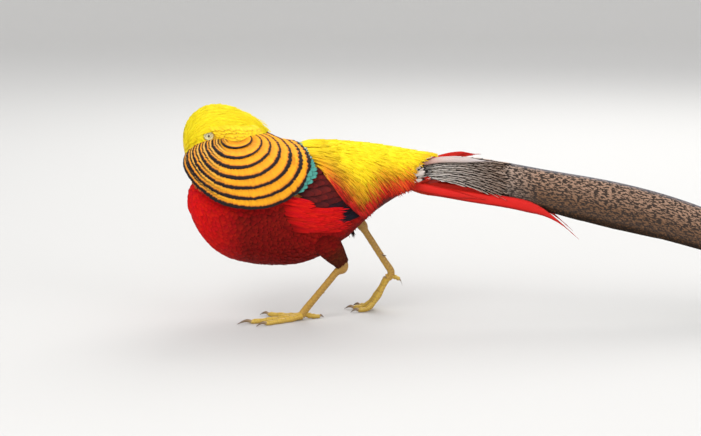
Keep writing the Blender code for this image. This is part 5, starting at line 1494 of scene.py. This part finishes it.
def makeBill():
    sizes = billSizes
    start, base = headSizes["rows"][-1][0] + sizes["gap"], headSizes["rows"][-1][3] - sizes["mouthDrop"]
    material = hornMaterial()
    middle, high, wide, tall = sizes["nostril"]
    for name, sign in (("upper", 1), ("lower", -1)):
        upper = sign > 0
        length = sizes["length"] * sizes["lengths"][name]
        rows, alongs, hollows = [], [], []
        for i, t in spaced(sizes["steps"]):
            narrow, blunt = max(0.0, 1 - t ** 1.6), 1 - t ** 6
            half = sizes["halfWidth"] * narrow + sizes["tipWidth"] * blunt
            height = sizes[name] * narrow + sizes["tipHeight"] * blunt
            flat = base - sizes["bend"] * t * t - (0.001 * t ** 6 if upper else 0.0) + sign * sizes["gap"] / 2
            row = []
            for turn in turns(sizes["sides"]):
                up = math.sin(turn)
                lift = sign * height * max(sign * up, 0.0) ** 0.9
                if (up < 0) == upper:
                    lift = sign * 0.0006 * abs(up) * narrow
                near = math.hypot((t * length - middle) / wide, (lift - high) / tall)
                deep = max(0.0, 1 - near) if upper and up > 0 else 0.0
                flap = max(0.0, 1 - abs(near - 1.25) / 0.35) * (lift > high) if upper and up > 0 else 0.0
                across = half * math.cos(turn) * (1 - 0.12 * min(deep * 3, 1) + 0.07 * flap)
                row.append(headPoint(start + t * length, across, flat + lift))
                alongs.append(t)
                hollows.append(min(deep * 3, 1))
            rows.append(row)
        gridPiece("bill" + name.capitalize(), rows, material, "bill", "bill_" + name,
                  floats={"along": alongs, "hollow": hollows})
    report("bill")


# Legs: shanks with overlapping scutes, toes with rings and pads, spurs and claws
footSizes = {
    "hockRadius": 0.0054, "shankRadius": 0.0036, "ballRadius": 0.0044, "footRadius": 0.0038, "scutes": 15,
    "toeScutes": 11, "scuteHeight": 0.00045, "sides": 28, "shankSteps": 150, "toeSteps": 84, "toeSides": 18,
    "shares": (0.0, 0.25, 0.5, 0.76, 0.85, 1.0), "radii": (0.004, 0.0036, 0.0032, 0.0026, 0.0018, 0.0003),
    "heights": {
        "flat": (0.0045, 0.0026, 0.0022, 0.0019, 0.0026, 0.0004),
        "pushing": (0.036, 0.0165, 0.0042, 0.002, 0.0026, 0.0004),
        "hind": (0.006, 0.0036, 0.0024, 0.0018, 0.0022, 0.0004),
        "lifted": (0.038, 0.038, 0.037, 0.035, 0.0335, 0.028),
    },
    "toes": {
        "left": (((-0.053, -0.0175), (-0.121, -0.0412), "flat", 1.0),
                 ((-0.053, -0.019), (-0.1, -0.051), "flat", 0.93),
                 ((-0.053, -0.016), (-0.099, 0.005), "flat", 0.93),
                 ((-0.049, -0.015), (-0.029, -0.007), "hind", 0.78)),
        "right": (((0.04, 0.03), (-0.007, 0.034), "pushing", 0.95), ((0.04, 0.0315), (0.002, 0.049), "pushing", 0.9),
                  ((0.04, 0.0285), (0.0, 0.0165), "pushing", 0.9), ((0.042, 0.03), (0.057, 0.0285), "lifted", 0.75)),
    },
    "spurShare": 0.62, "spurReach": 0.0085, "spurRadius": 0.0018,
}


def evenly(values):  # values at even shares of the way
    return [(k / (len(values) - 1), *value) for k, value in enumerate(values)]


def onFloor(points):  # nothing under the foot goes below the floor
    return [Vector((p.x, p.y, max(p.z, 0.0002))) for p in points]


def scaledTube(line, radiusAt, steps, sides, front, scutes, height, last=1.0):
    rows, ridges, parts = [], [], []
    for i in range(steps):
        t = last * i / (steps - 1)
        centre = line(t)
        ahead = (line(min(t + 0.01, 1.0)) - line(max(t - 0.01, 0.0))).normalized()
        out = (front - ahead * front.dot(ahead)).normalized()
        across = ahead.cross(out)
        plate = (t * scutes) % 1.0
        edge = min(plate / 0.1, 1.0) * (0.45 + 0.55 * plate)
        row = []
        for turn in turns(sides):
            facing = max(0.0, math.cos(turn)) ** 0.35
            small = 0.5 + 0.5 * math.sin(t * scutes * 4 * math.pi) * math.cos(3 * turn)
            proud = height * (facing * edge + (1 - facing) * 0.35 * small)
            row.append(centre + (out * math.cos(turn) + across * math.sin(turn)) * (radiusAt(t) + proud))
            ridges.append(facing * min(plate / 0.14, 1.0) + (1 - facing) * small)
            parts.append(t)
        rows.append(onFloor(row))
    return rows, {"ridge": ridges, "along": parts}


def legMaterial(name, top, foot):
    material, tree, shader = plainMaterial(name, 0.42, 0.4, 0.1)
    ridge = read(tree, "ridge")
    cells = addNode(tree, "ShaderNodeTexVoronoi", {"Scale": 900.0, "Vector": objectPlace(tree)}).outputs["Distance"]
    colour = mixColours(tree, read(tree, "along"), top, foot)
    grooves = maths(tree, "MULTIPLY", maths(tree, "SUBTRACT", 1.0, ridge), 0.75)
    colour = mixColours(tree, grooves, colour, (0.2, 0.09, 0.02))
    colour = mixColours(tree, maths(tree, "MULTIPLY", cells, 0.45), colour, (0.35, 0.19, 0.04))
    feed(tree, shader["Base Color"], colour)
    addBump(tree, shader, maths(tree, "MULTIPLY_ADD", cells, -0.6, ridge), 0.4, 0.0002)
    return material


def clawMaterial():
    material, tree, shader = plainMaterial("claw", 0.3, coat=0.3)
    feed(tree, shader["Base Color"], ramp(tree, read(tree, "along"), [
        (0.0, 0.4, 0.26, 0.1), (0.35, 0.22, 0.14, 0.07), (1.0, 0.08, 0.05, 0.03)]))
    return material


def makeLegs():
    sizes = footSizes
    shankSkin = legMaterial("shankSkin", (0.42, 0.22, 0.04), (0.58, 0.35, 0.05))
    toeSkin = legMaterial("toeSkin", (0.66, 0.42, 0.04), (0.68, 0.48, 0.07))
    claw = clawMaterial()
    upright = Vector((0, 0, 1))
    for side, name in bothSides:
        label = name.capitalize()
        root, hock, joint = legSizes["thighRoot"][name], legSizes["hock"][name], legSizes["joint"][name]
        line, shin = hock - root, joint - hock
        bend = hock + line.normalized() * 0.0022 + shin.normalized() * 0.0038
        ball = Vector((*sizes["toes"][name][0][0], sizes["heights"][sizes["toes"][name][0][2]][0]))
        places = [root + line * 0.9, hock, bend] + [hock + shin * s for s in (0.17, 0.36, 0.55, 0.74, 0.93)]
        places += [(joint + ball) / 2, ball]
        shank = [sizes["shankRadius"] * r for r in (1.02, 0.97, 0.96, 0.98, 1.05)]
        radii = [0.0052, 0.0055, sizes["hockRadius"], *shank, sizes["footRadius"], sizes["ballRadius"] * 0.97]
        rows, floats = scaledTube(
            lambda t: Vector(smoothRow(evenly(places), t)), lambda t: smoothRow(evenly([[r] for r in radii]), t)[0],
            sizes["shankSteps"], sizes["sides"], Vector((-1.0, 0.0, 0.35)), sizes["scutes"], sizes["scuteHeight"])
        gridPiece("shank" + label, rows, shankSkin, "leg_scales", "shank_" + name, floats=floats)
        spurOut = Vector((0.75, -side * 0.66, -0.1))
        across = spurOut.cross(upright).normalized()
        other = spurOut.normalized().cross(across)
        rows = []
        for i, t in spaced(16):
            centre = hock + shin * sizes["spurShare"] + spurOut * sizes["spurReach"] * t
            centre.z += 0.0008 * t * t
            radius = sizes["spurRadius"] * (1 - t ** 1.3) + 0.0001
            rows.append([centre + (across * math.cos(turn) + other * math.sin(turn)) * radius for turn in turns(12)])
        gridPiece("spur" + label, rows, claw, "leg_scales",
                  floats={"along": [0.6 * (k // 12) / 15 for k in range(16 * 12)]})
        for order, (start, end, kind, thickness) in enumerate(sizes["toes"][name]):
            start, end = Vector(start), Vector(end)
            track = [(share, *start.lerp(end, share), height)
                     for share, height in zip(sizes["shares"], sizes["heights"][kind])]
            path = lambda t: Vector(smoothRow(track, t))

            def width(t):  # pads under the toe, and a rounded end under the claw
                pads = 1 + 0.1 * math.cos(2 * math.pi * t * 4.2)
                roundEnd = 1 - 0.55 * max(0.0, (t - 0.73) / 0.07) ** 2
                radius = smoothRow(list(zip(sizes["shares"], sizes["radii"])), t)[0]
                return radius * thickness * pads * 0.96 * roundEnd

            rows, floats = scaledTube(path, width, sizes["toeSteps"], sizes["toeSides"], Vector((-0.2, 0, 1)),
                                      sizes["toeScutes"], sizes["scuteHeight"] * 0.8, 0.8)
            gridPiece(f"toe{label}{order}", rows, toeSkin, "leg_scales", *["foot_" + name][order:], floats=floats)
            ahead = (end - start).normalized()
            across = Vector((-ahead.y, ahead.x, 0))
            rows = []
            for i, t in spaced(24):
                centre = path(0.755 + 0.245 * t) + Vector((0, 0, 0.0012 * math.sin(math.pi * t) * thickness))
                radius = 0.0017 * thickness * (1 - t ** 1.6) + 0.0001
                rows.append(onFloor([centre + (across * math.cos(turn) + upright * math.sin(turn) * 1.15) * radius
                                     for turn in turns(14)]))
            gridPiece(f"claw{label}{order}", rows, claw, "leg_scales",
                      floats={"along": [(k // 14) / 23 for k in range(24 * 14)]})
    report("legs")


# Stage: floor, light and camera
stageSizes = {
    "camera": Vector((0.0, -1.855, 0.43028)), "down": 9.85,
    "focal": 1750 / 701 * 36,  # pixels, over the photo's width
    "floor": (0.6, 0.59, 0.57, 1.0), "sky": (0.93, 0.95, 1.0, 1.0), "skyPower": 0.56, "sides": 64,
    "flat": 4.2, "curve": 1.2, "lookAt": Vector((-0.1, 0, 0.12)),
    "lights": (  # place, power, width
        ((0.0, 1.2, 4.8), 190.0, 9.0), ((-1.3, -1.9, 2.2), 36.0, 1.6), ((-0.2, -2.5, 0.9), 14.0, 1.2),
        ((1.9, -1.6, 1.2), 20.0, 1.8), ((0.3, 1.7, 1.7), 24.0, 1.4),
    ),
}


def makeFloor():  # flat, then curved up into a wall all round
    flat, curve, sides = stageSizes["flat"], stageSizes["curve"], stageSizes["sides"]
    rows = [(flat * k / 7, 0.0) for k in range(1, 8)]
    rows += [(flat + curve * math.sin(math.radians(a)), curve - curve * math.cos(math.radians(a)))
             for a in range(10, 91, 10)]
    rows.append((flat + curve, curve + 1.0))
    verts = [(out * math.cos(turn), out * math.sin(turn), z) for out, z in rows
             for turn in turns(sides)] + [(0.0, 0.0, 0.0)]
    faces = [(sides * (i + 1) + k, sides * (i + 1) + (k + 1) % sides, sides * i + (k + 1) % sides, sides * i + k)
             for i in range(len(rows) - 1) for k in range(sides)]
    mesh = meshFrom("floor", verts, faces + [(len(verts) - 1, k, (k + 1) % sides) for k in range(sides)])
    smoothFaces(mesh)
    material, tree, shader = plainMaterial("paleFloor", 0.9)
    shader["Base Color"].default_value = stageSizes["floor"]
    newObject("floor", mesh, material)


def makeStage():
    sizes, scene = stageSizes, bpy.context.scene
    scene.world = scene.world or bpy.data.worlds.new("studio")
    scene.world.use_nodes = True
    sky = scene.world.node_tree.nodes["Background"].inputs
    sky["Color"].default_value, sky["Strength"].default_value = sizes["sky"], sizes["skyPower"]
    for place, power, width in sizes["lights"]:
        light = bpy.data.lights.new("light", "AREA")
        light.energy, light.size = power, width
        lamp = newObject("light", light)
        lamp.location = place
        lamp.rotation_euler = (sizes["lookAt"] - Vector(place)).to_track_quat("-Z", "Y").to_euler()
    camera = newObject("camera", bpy.data.cameras.new("camera"))
    camera.location = sizes["camera"] + shift
    camera.rotation_euler = (math.radians(90 - sizes["down"]), 0, 0)
    camera.data.lens, camera.data.sensor_width, camera.data.clip_start = sizes["focal"], 36.0, 0.05
    scene.camera = camera
    scene.view_settings.view_transform = "Standard"


for make in (layBreast, layCape, layCrest, layFace, layThroat, layNape, layMantle, layWings, laySweep, layRump,
             makeTail, makePlumes, layCoverts, layVent, layThighs, layFluff, makeEyes, makeBill, makeLegs,
             makeFloor, makeStage):
    make()
for vane in (roundVane, squareVane, silkVane, leafVane):
    bpy.data.objects.remove(vane, do_unlink=True)
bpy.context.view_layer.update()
report("all")
